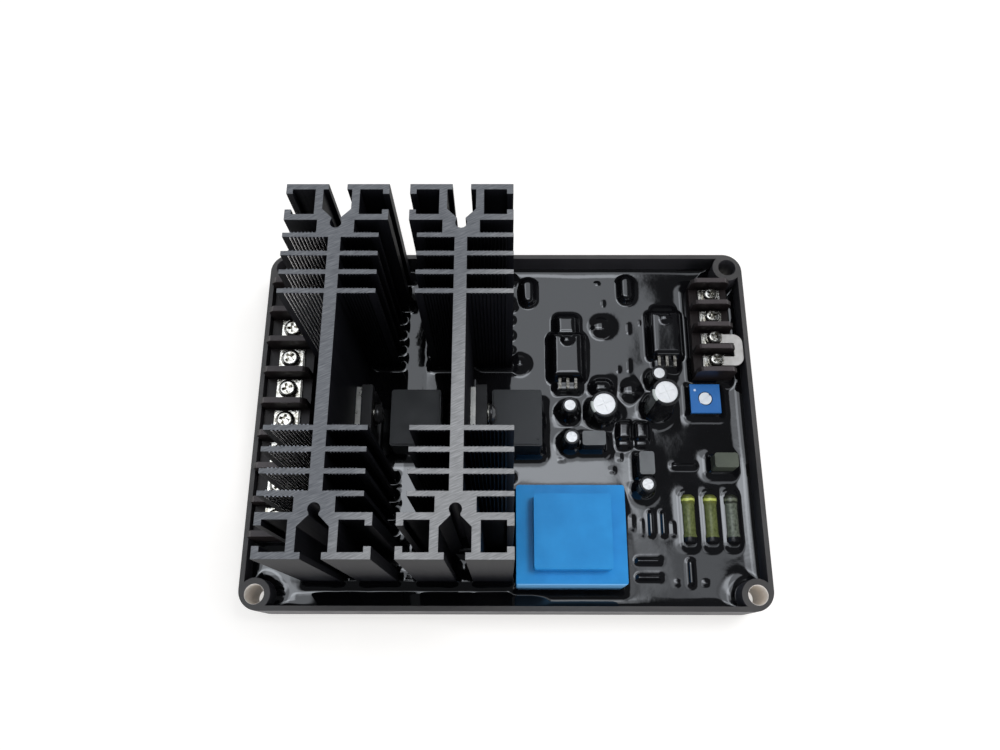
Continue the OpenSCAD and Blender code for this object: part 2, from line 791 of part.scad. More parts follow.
// Square body with a round well for the rotor and a bore for its stem
module trimmer_body() {
  color("#2a62b8") translate([trimmer_at[0], trimmer_at[1], top_z]) difference() {
    translate([-trimmer_w / 2, -trimmer_w / 2, 0]) cube([trimmer_w, trimmer_w, trimmer_h]);
    translate([0, 0, trimmer_h - rotor_t - 0.1]) cylinder(h = rotor_t + 1, r = rotor_r + rotor_gap);
    translate([0, 0, trimmer_h - rotor_t - stem_len - 0.2]) cylinder(h = stem_len + 1, r = stem_r + stem_gap);
  }
}

// Turning adjuster with a screwdriver slot
module trimmer_rotor() {
  color("#eceff0") translate([trimmer_at[0], trimmer_at[1], top_z + trimmer_h - rotor_t]) difference() {
    union() {
      cylinder(h = rotor_t, r = rotor_r);
      translate([0, 0, -stem_len]) cylinder(h = stem_len + 0.1, r = stem_r);
    }
    rotate(rotor_slot_turn) translate([-rotor_r, -rotor_slot_w / 2, rotor_t - rotor_slot_depth])
      cube([2 * rotor_r, rotor_slot_w, 1]);
  }
}

// Aluminium can with a crossed vent on its top
module can(radius, height) {
  inner_r = radius - sleeve_t - can_gap;
  top = height - sleeve_t - can_gap;
  difference() {
    cylinder(h = top, r = inner_r);
    for (turn = [0, 90])
      rotate(turn + vent_turn) translate([-inner_r * 0.6, -vent_w / 2, top - vent_depth])
        cube([inner_r * 1.2, vent_w, 1]);
  }
}

// Shrunk sleeve round a can, turned over its top edge
module sleeve(radius, height) {
  inner_r = radius - sleeve_t;
  rotate_extrude()
    polygon([
      [inner_r, 0], [radius, 0], [radius, height - sleeve_edge], [radius - sleeve_edge, height],
      [radius - sleeve_rim, height], [radius - sleeve_rim, height - sleeve_t], [inner_r, height - sleeve_t]
    ]);
}

module middle_capacitor_can() {
  color("#d9dadb") translate([middle_can_at[0], middle_can_at[1], top_z]) can(large_can_r, middle_can_h);
}

module middle_capacitor_sleeve() {
  color("#1a1a1d") translate([middle_can_at[0], middle_can_at[1], top_z]) sleeve(large_can_r, middle_can_h);
}

module tall_capacitor_can() {
  color("#d9dadb") translate([tall_can_at[0], tall_can_at[1], top_z]) can(large_can_r, tall_can_h);
}

module tall_capacitor_sleeve() {
  color("#1a1a1d") translate([tall_can_at[0], tall_can_at[1], top_z]) sleeve(large_can_r, tall_can_h);
}

module small_capacitor_cans() {
  color("#d9dadb") for (place = small_cans_at)
    translate([place[0], place[1], top_z]) can(small_can_r, small_can_h);
}

module small_capacitor_sleeves() {
  color("#1a1a1d") for (place = small_cans_at)
    translate([place[0], place[1], top_z]) sleeve(small_can_r, small_can_h);
}

// Moulded film capacitor, its long side along X unless turned
module film_box(place, turn, size = [film_len, film_w, film_h]) {
  color("#3b3733") translate([place[0], place[1], top_z]) rotate(turn)
    rounded_plate(size[0], size[1], size[2], case_corner_r);
}

module film_capacitor_middle() { film_box(film_middle_at, 0); }

module film_capacitor_front() { film_box(film_front_at, 90); }

module film_capacitor_right() { film_box(film_right_at, 0); }

module film_capacitor_rear() { film_box(film_rear_at, 0, film_rear_size); }

// Dipped capacitor with round ends, long side along Y
module dipped_shape(grow, height) {
  linear_extrude(height) {
    square([dipped_w + 2 * grow, dipped_len - dipped_w], center = true);
    for (end = [-1, 1])
      translate([0, end * (dipped_len - dipped_w) / 2]) circle(dipped_w / 2 + grow);
  }
}

module dipped_capacitor_left() {
  color("#222124") translate([dipped_left_at[0], dipped_left_at[1], top_z]) dipped_shape(0, dipped_h);
}

module dipped_capacitor_right() {
  color("#222124") translate([dipped_right_at[0], dipped_right_at[1], top_z]) dipped_shape(0, dipped_h);
}

// Round coated component, its edge rounded off
module coated_disc(place, radius) {
  color("#161619") translate([place[0], place[1], top_z]) rotate_extrude()
    polygon([[0, 0], [radius, 0], [radius, disc_h - disc_edge], [radius - disc_edge, disc_h], [0, disc_h]]);
}

module disc_left() { coated_disc(disc_left_at, disc_left_r); }

module disc_rear() { coated_disc(disc_rear_at, disc_rear_r); }

module disc_right() { coated_disc(disc_right_at, disc_right_r); }

// Tab of a transistor lying flat, its holed end to the rear
module transistor_tab(grow) {
  difference() {
    translate([-transistor_w / 2 - grow, -transistor_len / 2 - grow, 0])
      cube([transistor_w + 2 * grow, transistor_len + 2 * grow, transistor_tab_t + grow]);
    translate([0, transistor_len / 2 - transistor_hole_in, -1])
      cylinder(h = transistor_tab_t + 2, r = transistor_hole_r - grow);
  }
}

module transistor_leadframe(place) {
  lead_top = transistor_lift + lead_z + lead_t;
  color("#b9b6ae") translate([place[0], place[1], top_z]) {
    translate([0, 0, transistor_lift]) transistor_tab(0);
    for (k = [-1 : 1]) translate([k * lead_pitch - lead_w / 2, -transistor_len / 2 - lead_reach, 0]) {
      translate([0, 0, lead_top - lead_t]) cube([lead_w, lead_reach, lead_t]);
      cube([lead_w, lead_t, lead_top]);
    }
  }
}

// Body moulded over the tab, with the screw hole through both
module transistor_body(place) {
  body_h = transistor_t - transistor_tab_t;
  body_z = top_z + transistor_lift + transistor_tab_t;
  color("#18191b") translate([place[0], place[1], body_z]) difference() {
    translate([-transistor_w / 2, -transistor_len / 2, 0])
      cube([transistor_w, transistor_len - transistor_tab_end, body_h]);
    translate([0, transistor_len / 2 - transistor_hole_in, -1]) cylinder(h = body_h + 2, r = transistor_hole_r);
  }
}

module transistor_left_body() { transistor_body(transistor_left_at); }

module transistor_left_leadframe() { transistor_leadframe(transistor_left_at); }

module transistor_right_body() { transistor_body(transistor_right_at); }

module transistor_right_leadframe() { transistor_leadframe(transistor_right_at); }

// Round body lying along Y about its own centre
module axial_body(radius, length, grow = 0) {
  rotate([90, 0, 0]) cylinder(h = length + 2 * grow, r = radius + grow, center = true);
}

// The two wires of an axial piece, out from its ends and down to the board
module bent_wires(height, length, grow = 0) {
  for (end = [-1, 1]) translate([0, end * (length / 2 + wire_reach), 0]) {
    sphere(wire_r + grow, $fn = 24);
    translate([0, 0, -height]) cylinder(h = height, r = wire_r + grow);
    rotate([end * 90, 0, 0]) cylinder(h = wire_reach, r = wire_r + grow);
  }
}

module diode(place) {
  color("#141416") translate([place[0], place[1], top_z + diode_r]) axial_body(diode_r, diode_len);
}

module diode_left() { diode(diodes_at[0]); }

module diode_right() { diode(diodes_at[1]); }

module diode_wires() {
  color("#b9b6ae") for (place = diodes_at)
    translate([place[0], place[1], top_z + diode_r]) bent_wires(diode_r, diode_len);
}

// Lacquered resistor: end caps a little fuller than the wound middle
module power_resistor(place) {
  half = resistor_len / 2;
  waist = resistor_r * 0.9;
  nose = resistor_r * 0.3;
  cap = resistor_len * 0.16;
  neck = resistor_len * 0.21;
  color("#5f6b34") translate([place[0], place[1], top_z + resistor_r]) rotate([90, 0, 0]) rotate_extrude()
    polygon([
      [0, -half], [resistor_r - nose, -half], [resistor_r, nose - half], [resistor_r, cap - half],
      [waist, neck - half], [waist, half - neck], [resistor_r, half - cap], [resistor_r, half - nose],
      [resistor_r - nose, half], [0, half]
    ]);
}

module power_resistor_left() { power_resistor(resistors_at[0]); }

module power_resistor_middle() { power_resistor(resistors_at[1]); }

module power_resistor_right() { power_resistor(resistors_at[2]); }

module power_resistor_wires() {
  color("#b9b6ae") for (place = resistors_at)
    translate([place[0], place[1], top_z + resistor_r]) bent_wires(resistor_r, resistor_len);
}

// Centre of each small resistor, relative to the board's top
module at_small_resistors() {
  for (place = small_resistors_at)
    translate([place[0][0], place[0][1], small_r + small_lift]) rotate(place[1]) children();
}

module small_resistors() {
  color("#17171a") translate([0, 0, top_z]) at_small_resistors() axial_body(small_r, small_len);
}

module small_resistor_wires() {
  color("#b9b6ae") translate([0, 0, top_z]) at_small_resistors() bent_wires(small_r + small_lift, small_len);
}

tray();
circuit_board();
potting();
heatsink_left();
heatsink_right();
device_left_body();
device_left_leadframe();
device_right_body();
device_right_leadframe();
device_screws();
device_washers();
device_nuts();
left_strip_body();
left_strip_contacts();
left_strip_clamps();
left_strip_screws();
right_strip_body();
right_strip_contacts();
right_strip_clamps();
right_strip_screws();
terminal_link();
relay_left_cover();
relay_left_base();
relay_right_cover();
relay_right_base();
transformer();
trimmer_body();
trimmer_rotor();
middle_capacitor_can();
middle_capacitor_sleeve();
tall_capacitor_can();
tall_capacitor_sleeve();
small_capacitor_cans();
small_capacitor_sleeves();
film_capacitor_middle();
film_capacitor_front();
film_capacitor_right();
film_capacitor_rear();
dipped_capacitor_left();
dipped_capacitor_right();
disc_left();
disc_rear();
disc_right();
transistor_left_body();
transistor_left_leadframe();
transistor_right_body();
transistor_right_leadframe();
diode_left();
diode_right();
diode_wires();
power_resistor_left();
power_resistor_middle();
power_resistor_right();
power_resistor_wires();
small_resistors();
small_resistor_wires();
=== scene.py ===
"""Looks of a potted voltage regulator: each solid keeps its place and gets its finish here."""

from math import radians

import bpy
import numpy as np
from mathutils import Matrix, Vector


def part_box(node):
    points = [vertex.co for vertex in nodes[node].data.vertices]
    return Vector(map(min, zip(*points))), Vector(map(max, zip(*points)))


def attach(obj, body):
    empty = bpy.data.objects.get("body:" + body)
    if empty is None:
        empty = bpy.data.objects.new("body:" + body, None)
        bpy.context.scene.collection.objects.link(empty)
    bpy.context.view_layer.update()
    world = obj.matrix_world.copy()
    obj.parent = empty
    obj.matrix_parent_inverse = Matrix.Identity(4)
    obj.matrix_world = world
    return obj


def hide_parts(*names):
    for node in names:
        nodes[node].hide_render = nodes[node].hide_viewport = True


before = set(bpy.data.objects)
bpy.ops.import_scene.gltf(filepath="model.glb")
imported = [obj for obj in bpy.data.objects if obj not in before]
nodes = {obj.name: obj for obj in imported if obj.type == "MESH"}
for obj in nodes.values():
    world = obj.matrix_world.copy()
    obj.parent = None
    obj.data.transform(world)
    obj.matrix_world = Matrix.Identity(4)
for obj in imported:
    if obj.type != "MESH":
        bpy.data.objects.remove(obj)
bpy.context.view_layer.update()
MM = 0.001


# Tray: a shallow box moulded in black plastic, open on top, with a boss in each corner for a
# mounting screw. The plastic is matte with a fine grain, its rim is rubbed grey, and the walls
# of its two front holes are pale beige, made paler still as painted light; the rear holes' walls
# keep the tray's black as painted shade.
def start_finish(name, roughness, ior=1.5, metallic=0.0):
    """A new material with the values that are the same all over its surface."""
    material = bpy.data.materials.new(name)
    material.use_nodes = True
    shader = material.node_tree.nodes["Principled BSDF"]
    shader.inputs["Roughness"].default_value = roughness
    shader.inputs["IOR"].default_value = ior
    shader.inputs["Metallic"].default_value = metallic
    return material, shader


def grain(material, size, detail=4.0, stretch=(1, 1, 1), turn=(0, 0, 0)):
    """Noise with features of a size in millimetres, fixed to the piece's own place."""
    tree = material.node_tree
    place = tree.nodes.new("ShaderNodeTexCoord")
    mapping = tree.nodes.new("ShaderNodeMapping")
    mapping.vector_type = "TEXTURE"
    mapping.inputs["Scale"].default_value = [size * MM * part for part in stretch]
    mapping.inputs["Rotation"].default_value = [radians(angle) for angle in turn]
    noise = tree.nodes.new("ShaderNodeTexNoise")
    noise.inputs["Scale"].default_value = 1.0
    noise.inputs["Detail"].default_value = detail
    tree.links.new(place.outputs["Object"], mapping.inputs["Vector"])
    tree.links.new(mapping.outputs["Vector"], noise.inputs["Vector"])
    return noise.outputs["Fac"]


def shades(material, amount, *stops):
    """Colours along an amount from 0 to 1."""
    ramp = material.node_tree.nodes.new("ShaderNodeValToRGB")
    while len(ramp.color_ramp.elements) < len(stops):
        ramp.color_ramp.elements.new(0.5)
    for element, (position, colour) in zip(ramp.color_ramp.elements, stops):
        element.position = position
        element.color = (*colour, 1) if len(colour) == 3 else (colour[0], colour[0], colour[0], 1)
    material.node_tree.links.new(amount, ramp.inputs["Fac"])
    return ramp.outputs["Color"]


def clouded(material, cloud, dark, light):
    """Two shades of one colour that drift into each other."""
    return shades(material, cloud, (0.3, dark), (0.7, light))


def calculate(material, operation, first, second):
    """One step of arithmetic on two amounts."""
    step = material.node_tree.nodes.new("ShaderNodeMath")
    step.operation = operation
    for socket, amount in zip(step.inputs, (first, second)):
        if isinstance(amount, (int, float)):
            socket.default_value = amount
        else:
            material.node_tree.links.new(amount, socket)
    return step.outputs["Value"]


def along_axis(material, axis):
    """Where a point of the piece lies along X, Y or Z, in metres."""
    tree = material.node_tree
    coordinates = tree.nodes.new("ShaderNodeTexCoord")
    parts = tree.nodes.new("ShaderNodeSeparateXYZ")
    tree.links.new(coordinates.outputs["Object"], parts.inputs["Vector"])
    return parts.outputs[axis]


def mixed(material, amount, first, second):
    """One colour where the amount is 0, another where it is 1."""
    mix = material.node_tree.nodes.new("ShaderNodeMix")
    mix.data_type = "RGBA"
    sockets = (mix.inputs["Factor"], mix.inputs[6], mix.inputs[7])
    for socket, value in zip(sockets, (amount, first, second)):
        if isinstance(value, tuple):
            socket.default_value = (*value, 1)
        else:
            material.node_tree.links.new(value, socket)
    return mix.outputs[2]


def set_colour(material, shader, colour):
    """Colours the surface from place to place."""
    material.node_tree.links.new(colour, shader.inputs["Base Color"])


def set_roughness(material, shader, amount):
    """Makes the surface dull or glossy from place to place."""
    material.node_tree.links.new(amount, shader.inputs["Roughness"])


def relief(material, shader, height, depth):
    """Raises and sinks the surface by a depth in millimetres."""
    bump = material.node_tree.nodes.new("ShaderNodeBump")
    bump.inputs["Distance"].default_value = depth * MM
    bump.inputs["Strength"].default_value = 1.0
    material.node_tree.links.new(height, bump.inputs["Height"])
    material.node_tree.links.new(bump.outputs["Normal"], shader.inputs["Normal"])


def facing(material, direction, limit):
    """1 on faces that look about one way, 0 on the others."""
    tree = material.node_tree
    geometry = tree.nodes.new("ShaderNodeNewGeometry")
    along = tree.nodes.new("ShaderNodeVectorMath")
    along.operation = "DOT_PRODUCT"
    along.inputs[1].default_value = direction
    tree.links.new(geometry.outputs["Normal"], along.inputs[0])
    return calculate(material, "GREATER_THAN", along.outputs["Value"], limit)


def upward(material):
    """1 on faces that look up, 0 on upright ones."""
    return facing(material, (0, 0, 1), 0.7)


def dress(node, material, edge=0.0):
    """Gives a solid its finish, and eases its sharp edges by a width in millimetres."""
    piece = nodes[node]
    piece.data.materials.clear()
    piece.data.materials.append(material)
    if edge:
        join = piece.modifiers.new("join", "WELD")
        join.merge_threshold = 0.002 * MM
        bevel = piece.modifiers.new("edges", "BEVEL")
        bevel.width = edge * MM
        bevel.segments = 2
        bevel.limit_method = "ANGLE"
        bevel.angle_limit = radians(35)
        bevel.harden_normals = True


tray_plastic, tray_shader = start_finish("tray_plastic", 0.5)
tray_cloud = grain(tray_plastic, 9.0, 5.0)
tray_black = clouded(tray_plastic, tray_cloud, (0.03, 0.029, 0.033), (0.042, 0.04, 0.045))
tray_rubbed = clouded(tray_plastic, tray_cloud, (0.05, 0.047, 0.046), (0.072, 0.068, 0.066))
tray_outer = mixed(tray_plastic, upward(tray_plastic), tray_black, tray_rubbed)
# Only the two front holes' walls are painted pale: their own beige made paler as painted light. The rear
# holes' walls stay black as painted shade.
bore_x = 72.8
bore_y = 52.3
bore_reach = 2.9
tray_side = calculate(tray_plastic, "ABSOLUTE", along_axis(tray_plastic, "X"), 0.0)
from_bore_x = calculate(tray_plastic, "SUBTRACT", tray_side, bore_x * MM)
from_bore_y = calculate(tray_plastic, "ADD", along_axis(tray_plastic, "Y"), bore_y * MM)
bore_square_x = calculate(tray_plastic, "MULTIPLY", from_bore_x, from_bore_x)
bore_square_y = calculate(tray_plastic, "MULTIPLY", from_bore_y, from_bore_y)
bore_square = calculate(tray_plastic, "ADD", bore_square_x, bore_square_y)
front_bore_painted_light = calculate(tray_plastic, "LESS_THAN", bore_square, (bore_reach * MM) ** 2)
set_colour(tray_plastic, tray_shader, mixed(tray_plastic, front_bore_painted_light, tray_outer, (0.85, 0.79, 0.72)))
set_roughness(tray_plastic, tray_shader, shades(tray_plastic, tray_cloud, (0.2, (0.42,)), (0.8, (0.62,))))
relief(tray_plastic, tray_shader, grain(tray_plastic, 0.35, 3.0), 0.02)
dress("tray", tray_plastic, 0.45)


# Circuit board: a glass laminate with a green mask, laid in the tray before the resin was
# poured. The components' leads go down to it, and none of it shows.
def moulding(name, dark, light, roughness, grain_size, grain_depth):
    """Moulded plastic: a little cloudiness in its colour and gloss, and a fine grain."""
    drift = 0.06
    material, shader = start_finish(name, roughness)
    cloud = grain(material, 6.0, 3.0)
    set_colour(material, shader, clouded(material, cloud, dark, light))
    set_roughness(material, shader, clouded(material, cloud, (roughness - drift,), (roughness + drift,)))
    relief(material, shader, grain(material, grain_size, 2.0), grain_depth)
    return material


dress("circuit_board", moulding("board_mask", (0.01, 0.07, 0.03), (0.015, 0.1, 0.04), 0.4, 0.5, 0.01))


# Resin: poured black over the board until it covered the smaller components. It set glossy,
# climbed every wall and component a little, and lies as a skin over the low ones.
def footprint(node):
    """Middle and half size of a node's outline from above, and its top, in millimetres."""
    low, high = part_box(node)
    middle = (low + high) / (2 * MM)
    half = (high - low) / (2 * MM)
    return middle.x, middle.y, half.x, half.y, high.z / MM


resin_cell = 0.45
wall_low, wall_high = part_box("potting")
resin_level = wall_high.z / MM
pool_w = (wall_high.x - wall_low.x) / MM
pool_d = (wall_high.y - wall_low.y) / MM
board_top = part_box("circuit_board")[1].z
cells_x = round(pool_w / resin_cell)
cells_y = round(pool_d / resin_cell)
bpy.ops.object.select_all(action="DESELECT")
bpy.ops.mesh.primitive_grid_add(x_subdivisions=cells_x, y_subdivisions=cells_y, size=1)
resin = bpy.context.object
resin.name = "resin"
resin.scale = (pool_w * MM, pool_d * MM, 1)
bpy.ops.object.transform_apply(location=False, rotation=False, scale=True)
grid = np.zeros(len(resin.data.vertices) * 3)
resin.data.vertices.foreach_get("co", grid)
grid = grid.reshape(-1, 3)
across = grid[:, 0] / MM
along = grid[:, 1] / MM


def outside(middle_x, middle_y, half_x, half_y, corner=0.4, turn=0):
    """Distance from a rounded block's outline, less than nothing inside it."""
    angle = radians(turn)
    offset_x = across - middle_x
    offset_y = along - middle_y
    local_x = np.abs(offset_x * np.cos(angle) + offset_y * np.sin(angle)) - half_x + corner
    local_y = np.abs(offset_y * np.cos(angle) - offset_x * np.sin(angle)) - half_y + corner
    beyond = np.hypot(np.maximum(local_x, 0), np.maximum(local_y, 0))
    return beyond + np.minimum(np.maximum(local_x, local_y), 0) - corner


def climb(distance, height, reach):
    """Resin drawn up against an upright face."""
    return height * np.exp(-np.maximum(distance, 0) / reach)


def skin(distance, top, spread, shoulder):
    """Resin over a low component: level on top, round at the shoulder, with a spreading foot."""
    return top / (1 + np.exp((distance - shoulder) / spread))


rises = []
half_pool_w = pool_w / 2
half_pool_d = pool_d / 2
for wall_gap, wall_climb, wall_reach in (
    (half_pool_w - across, 1.2, 1.5),
    (half_pool_w + across, 1.2, 1.0),
    (half_pool_d + along, 1.0, 0.8),
):
    rises.append(climb(wall_gap, wall_climb, wall_reach))

# Along the rear wall the skin curves up widely. In front of the heatsinks it falls from their
# feet and from the front wall to a narrow trough.
rear_gap = half_pool_d - along
rear_curve = 4.6
rear_rise = 0.575
rises.append(rear_rise * np.clip(1 - rear_gap / rear_curve, 0, 1) ** 2 + climb(rear_gap, 0.3, 0.2))
trough_y = -51.0
trough_left = -66
trough_left_fade = 14
trough_right = 14
trough_right_fade = 6
trough_rear = -45
trough_rear_fade = 3
wall_slope = 0.4
foot_slope = 0.2
trough_sides = np.where(along < trough_y, wall_slope, foot_slope) * np.abs(along - trough_y)
trough_sides *= np.clip((across - trough_left) / trough_left_fade, 0, 1)
trough_sides *= np.clip((trough_right - across) / trough_right_fade, 0, 1)
trough_sides *= np.clip((trough_rear - along) / trough_rear_fade, 0, 1)
rises.append(trough_sides)
boss_r = 4.7
tray_wall = 1.5
boss_x = half_pool_w + tray_wall - boss_r
boss_y = half_pool_d + tray_wall - boss_r
for side_x in (-1, 1):
    for side_y in (-1, 1):
        to_boss = np.hypot(across - side_x * boss_x, along - side_y * boss_y)
        rises.append(climb(to_boss - boss_r, 1.4, 1.2))


# The heatsinks' section, from above: web, blocks, flanges, lips, uprights and fins.
def climb_sink(middle_x, middle_y, half_x, half_y):
    """The resin's climb round one part of a heatsink's section."""
    rises.append(climb(outside(middle_x, middle_y, half_x, half_y), 1.4, 0.9))


web_half = 1.7
block_inset = 12.45
block_half_x = 5.05
block_half_y = 3.15
flange_inset = 10.2
flange_half = 0.9
lip_x = 8.3
lip_half_x = 5.8
lip_half_y = 0.85
upright_x = 5
upright_half_x = 1.1
upright_half_y = 5.5
fin_first = 15.6
fin_pitch = 5.47
fin_count = 4
fin_t = 1.3
fin_step = 2.3
for node, long_side in (("heatsink_left", -1), ("heatsink_right", 1)):
    sink_x, sink_y, half_w, half_l, _ = footprint(node)
    climb_sink(sink_x, sink_y, web_half, half_l - fin_first)
    for end in (-1, 1):
        climb_sink(sink_x, sink_y + end * (half_l - block_inset), block_half_x, block_half_y)
        climb_sink(sink_x, sink_y + end * (half_l - flange_inset), half_w, flange_half)
        lip_y = sink_y + end * (half_l - lip_half_y)
        upright_y = sink_y + end * (half_l - upright_half_y)
        for side in (-1, 1):
            climb_sink(sink_x + side * lip_x, lip_y, lip_half_x, lip_half_y)
            climb_sink(sink_x + side * upright_x, upright_y, upright_half_x, upright_half_y)
        for k in range(fin_count):
            fin_y = sink_y + end * (half_l - fin_first - k * fin_pitch)
            fin_x = sink_x + long_side * fin_step / 2
            rises.append(climb(outside(fin_x, fin_y, half_w - fin_step / 2, fin_t / 2), 1.3, 0.5))

# It climbs the upright sides of the taller components in the same way.
for node in ("left_strip_body", "right_strip_body", "relay_left_base", "relay_right_base", "transformer",
             "trimmer_body", "film_capacitor_middle", "film_capacitor_front", "film_capacitor_right"):
    rises.append(climb(outside(*footprint(node)[:4]), 1.7, 0.95))
for node in ("middle_capacitor_sleeve", "tall_capacitor_sleeve"):
    rises.append(climb(outside(*footprint(node)[:4], corner=4.3), 1.8, 1.0))
small_cans = ((20, 5), (20.3, -5.2), (48.4, 15.6), (42.9, -19.9))
small_can_r = 2.6
for can_x, can_y in small_cans:
    rises.append(climb(outside(can_x, can_y, small_can_r, small_can_r, corner=small_can_r), 1.7, 0.9))
for node in ("power_resistor_left", "power_resistor_middle", "power_resistor_right"):
    middle_x, middle_y, half_x, half_y, _ = footprint(node)
    rises.append(climb(outside(middle_x, middle_y, half_x + 0.1, half_y + 1.4, corner=1.8), 0.45, 0.7))

# Over the low components it lies as a skin that follows their shape.
skin_t = 0.25
skin_level = resin_level - skin_t
for node, corner, spread in (
    ("dipped_capacitor_left", 1.9, 0.3),
    ("dipped_capacitor_right", 1.9, 0.3),
    ("film_capacitor_rear", 2.0, 0.7),
    ("disc_left", 2.2, 0.65),
    ("disc_rear", 2.6, 0.7),
    ("disc_right", 2.7, 0.7),
):
    middle_x, middle_y, half_x, half_y, top = footprint(node)
    from_part = outside(middle_x, middle_y, half_x, half_y, corner)
    rises.append(skin(from_part, top - skin_level, spread, 0.25))
for node in ("diode_left", "diode_right"):
    middle_x, middle_y, half_x, half_y, top = footprint(node)
    from_body = outside(middle_x, middle_y + 1.1, half_x, half_y - 1.1, 0.8)
    from_front = outside(middle_x, middle_y - 2.6, half_x, 1.6, 1.2)
    rises.append(skin(from_body, top - skin_level, 0.28, 0.2))
    rises.append(skin(from_front, 1.0, 0.35, 0.2))

# Over a transistor the skin is level, falls to its leads at the front, and stands as a drop on
# the screw hole. A lower lump of resin lies behind each one.
drops = []
drop_h = 0.75
drop_r = 2.2
drop_inset = 2.6
for side, lump_half_x, lump_half_y, lump_top in (("left", 3.3, 3.4, 2.6), ("right", 3.6, 1.2, 1.2)):
    middle_x, middle_y, half_x, half_y, top = footprint(f"transistor_{side}_body")
    front = middle_y - half_y
    rear = middle_y + half_y
    from_body = outside(middle_x, middle_y, half_x, half_y, 1.0)
    from_leads = outside(middle_x, front - 2.2, 4.0, 2.0, 1.2)
    from_lump = outside(middle_x, rear + lump_half_y, lump_half_x, lump_half_y, 1.2)
    rises.append(skin(from_body, top - skin_level, 0.4, 0.3))
    rises.append(skin(from_leads, 1.1, 0.45, 0.2))
    rises.append(skin(from_lump, lump_top, 0.4, 0.3))
    from_hole = np.hypot(across - middle_x, along - rear + drop_inset)
    drops.append(drop_h * np.clip(1 - (from_hole / drop_r) ** 2, 0, 1))

# Six small resistors lie just under the skin, each with its own turn.
small_resistors = (
    (44.6, -30.5, 0), (48.4, -30.5, 0), (43.15, -41.7, 90),
    (43.15, -46.6, 90), (55.8, -45.2, 0), (56.0, -12.4, 90),
)
for resistor_x, resistor_y, turn in small_resistors:
    rises.append(skin(outside(resistor_x, resistor_y, 0.3, 3.4, 0.3, turn), 0.95, 0.28, 0.2))

# Wire ends and solder joints show as small rises of it.
for joint_x, joint_y, half_x, half_y in (
    (30.8, 50.5, 0.6, 0.3), (32.5, 43.2, 0.3, 0.9), (40.5, 34.2, 0.4, 1.6), (44.5, 36.2, 0.4, 0.8),
    (40.1, 21.0, 0.4, 1.8), (36.6, 19.7, 0.3, 0.7), (51.4, -48.2, 0.5, 0.5), (60.0, -48.2, 0.7, 0.5),
    (17.7, -10.3, 1.1, 0.7), (35.9, -9.6, 0.7, 0.9), (33.4, -13.8, 0.6, 0.6), (38.6, -30.3, 0.6, 2.1),
    (41.7, -31.8, 0.3, 2.3), (51.2, -32.2, 0.8, 2.1),
):
    rises.append(skin(outside(joint_x, joint_y, half_x, half_y, 0.3), 0.17, 0.2, 0.1))

# Where rises meet they blend, and the highest counts most. The whole skin ripples faintly, and
# between the heatsinks it rises towards the left one.
height = sum(rise ** 4 for rise in rises) ** 0.25
ripple = 0.03 * np.sin(across / 3.1 + 0.6) * np.cos(along / 4.7) + 0.04 * np.sin(along / 6.3 + across / 7.1)
between_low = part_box("heatsink_left")[1].x / MM
between_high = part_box("heatsink_right")[0].x / MM
lean_slope = 0.08
lean_fade = 8
lean = lean_slope * (between_high - np.clip(across, between_low, between_high))
lean *= np.clip((half_l - np.abs(along - sink_y)) / lean_fade, 0, 1)
grid[:, 2] = (resin_level + height + ripple + lean + sum(drops)) * MM
resin.data.vertices.foreach_set("co", grid.ravel())
resin.data.update()
boss_overlap = 0.5
bpy.ops.object.mode_set(mode="EDIT")
bpy.ops.mesh.select_mode(type="FACE")
bpy.ops.mesh.select_all(action="DESELECT")
bpy.ops.object.mode_set(mode="OBJECT")
for face in resin.data.polygons:
    middle = face.center / MM
    past_x = abs(middle.x) - boss_x
    past_y = abs(middle.y) - boss_y
    in_corner = past_x > 0 and past_y > 0
    face.select = bool(in_corner or np.hypot(past_x, past_y) < boss_r - boss_overlap)
bpy.ops.object.mode_set(mode="EDIT")
bpy.ops.mesh.delete(type="FACE")
bpy.ops.mesh.select_mode(type="EDGE")
bpy.ops.mesh.select_all(action="DESELECT")
bpy.ops.mesh.select_non_manifold()
bpy.ops.mesh.extrude_edges_move()
bpy.ops.transform.resize(value=(1, 1, 0), center_override=(0, 0, board_top))
bpy.ops.mesh.edge_face_add()
bpy.ops.object.mode_set(mode="OBJECT")
bpy.ops.object.shade_smooth_by_angle(angle=radians(75))

resin_gloss, resin_shader = start_finish("resin_gloss", 0.05, ior=1.8)
resin_cloud = grain(resin_gloss, 14.0, 3.0)
resin_black = clouded(resin_gloss, resin_cloud, (0.0025, 0.0025, 0.003), (0.005, 0.005, 0.006))
set_colour(resin_gloss, resin_shader, resin_black)
set_roughness(resin_gloss, resin_shader, shades(resin_gloss, resin_cloud, (0.3, (0.03,)), (0.8, (0.08,))))
relief(resin_gloss, resin_shader, grain(resin_gloss, 2.2, 2.0), 0.01)
resin.data.materials.append(resin_gloss)
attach(resin, "regulator")
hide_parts("potting", "dipped_capacitor_left", "dipped_capacitor_right", "film_capacitor_rear",
            "disc_left", "disc_rear", "disc_right", "transistor_left_body", "transistor_right_body",
            "diode_left", "diode_right", "diode_wires", "small_resistors", "small_resistor_wires")

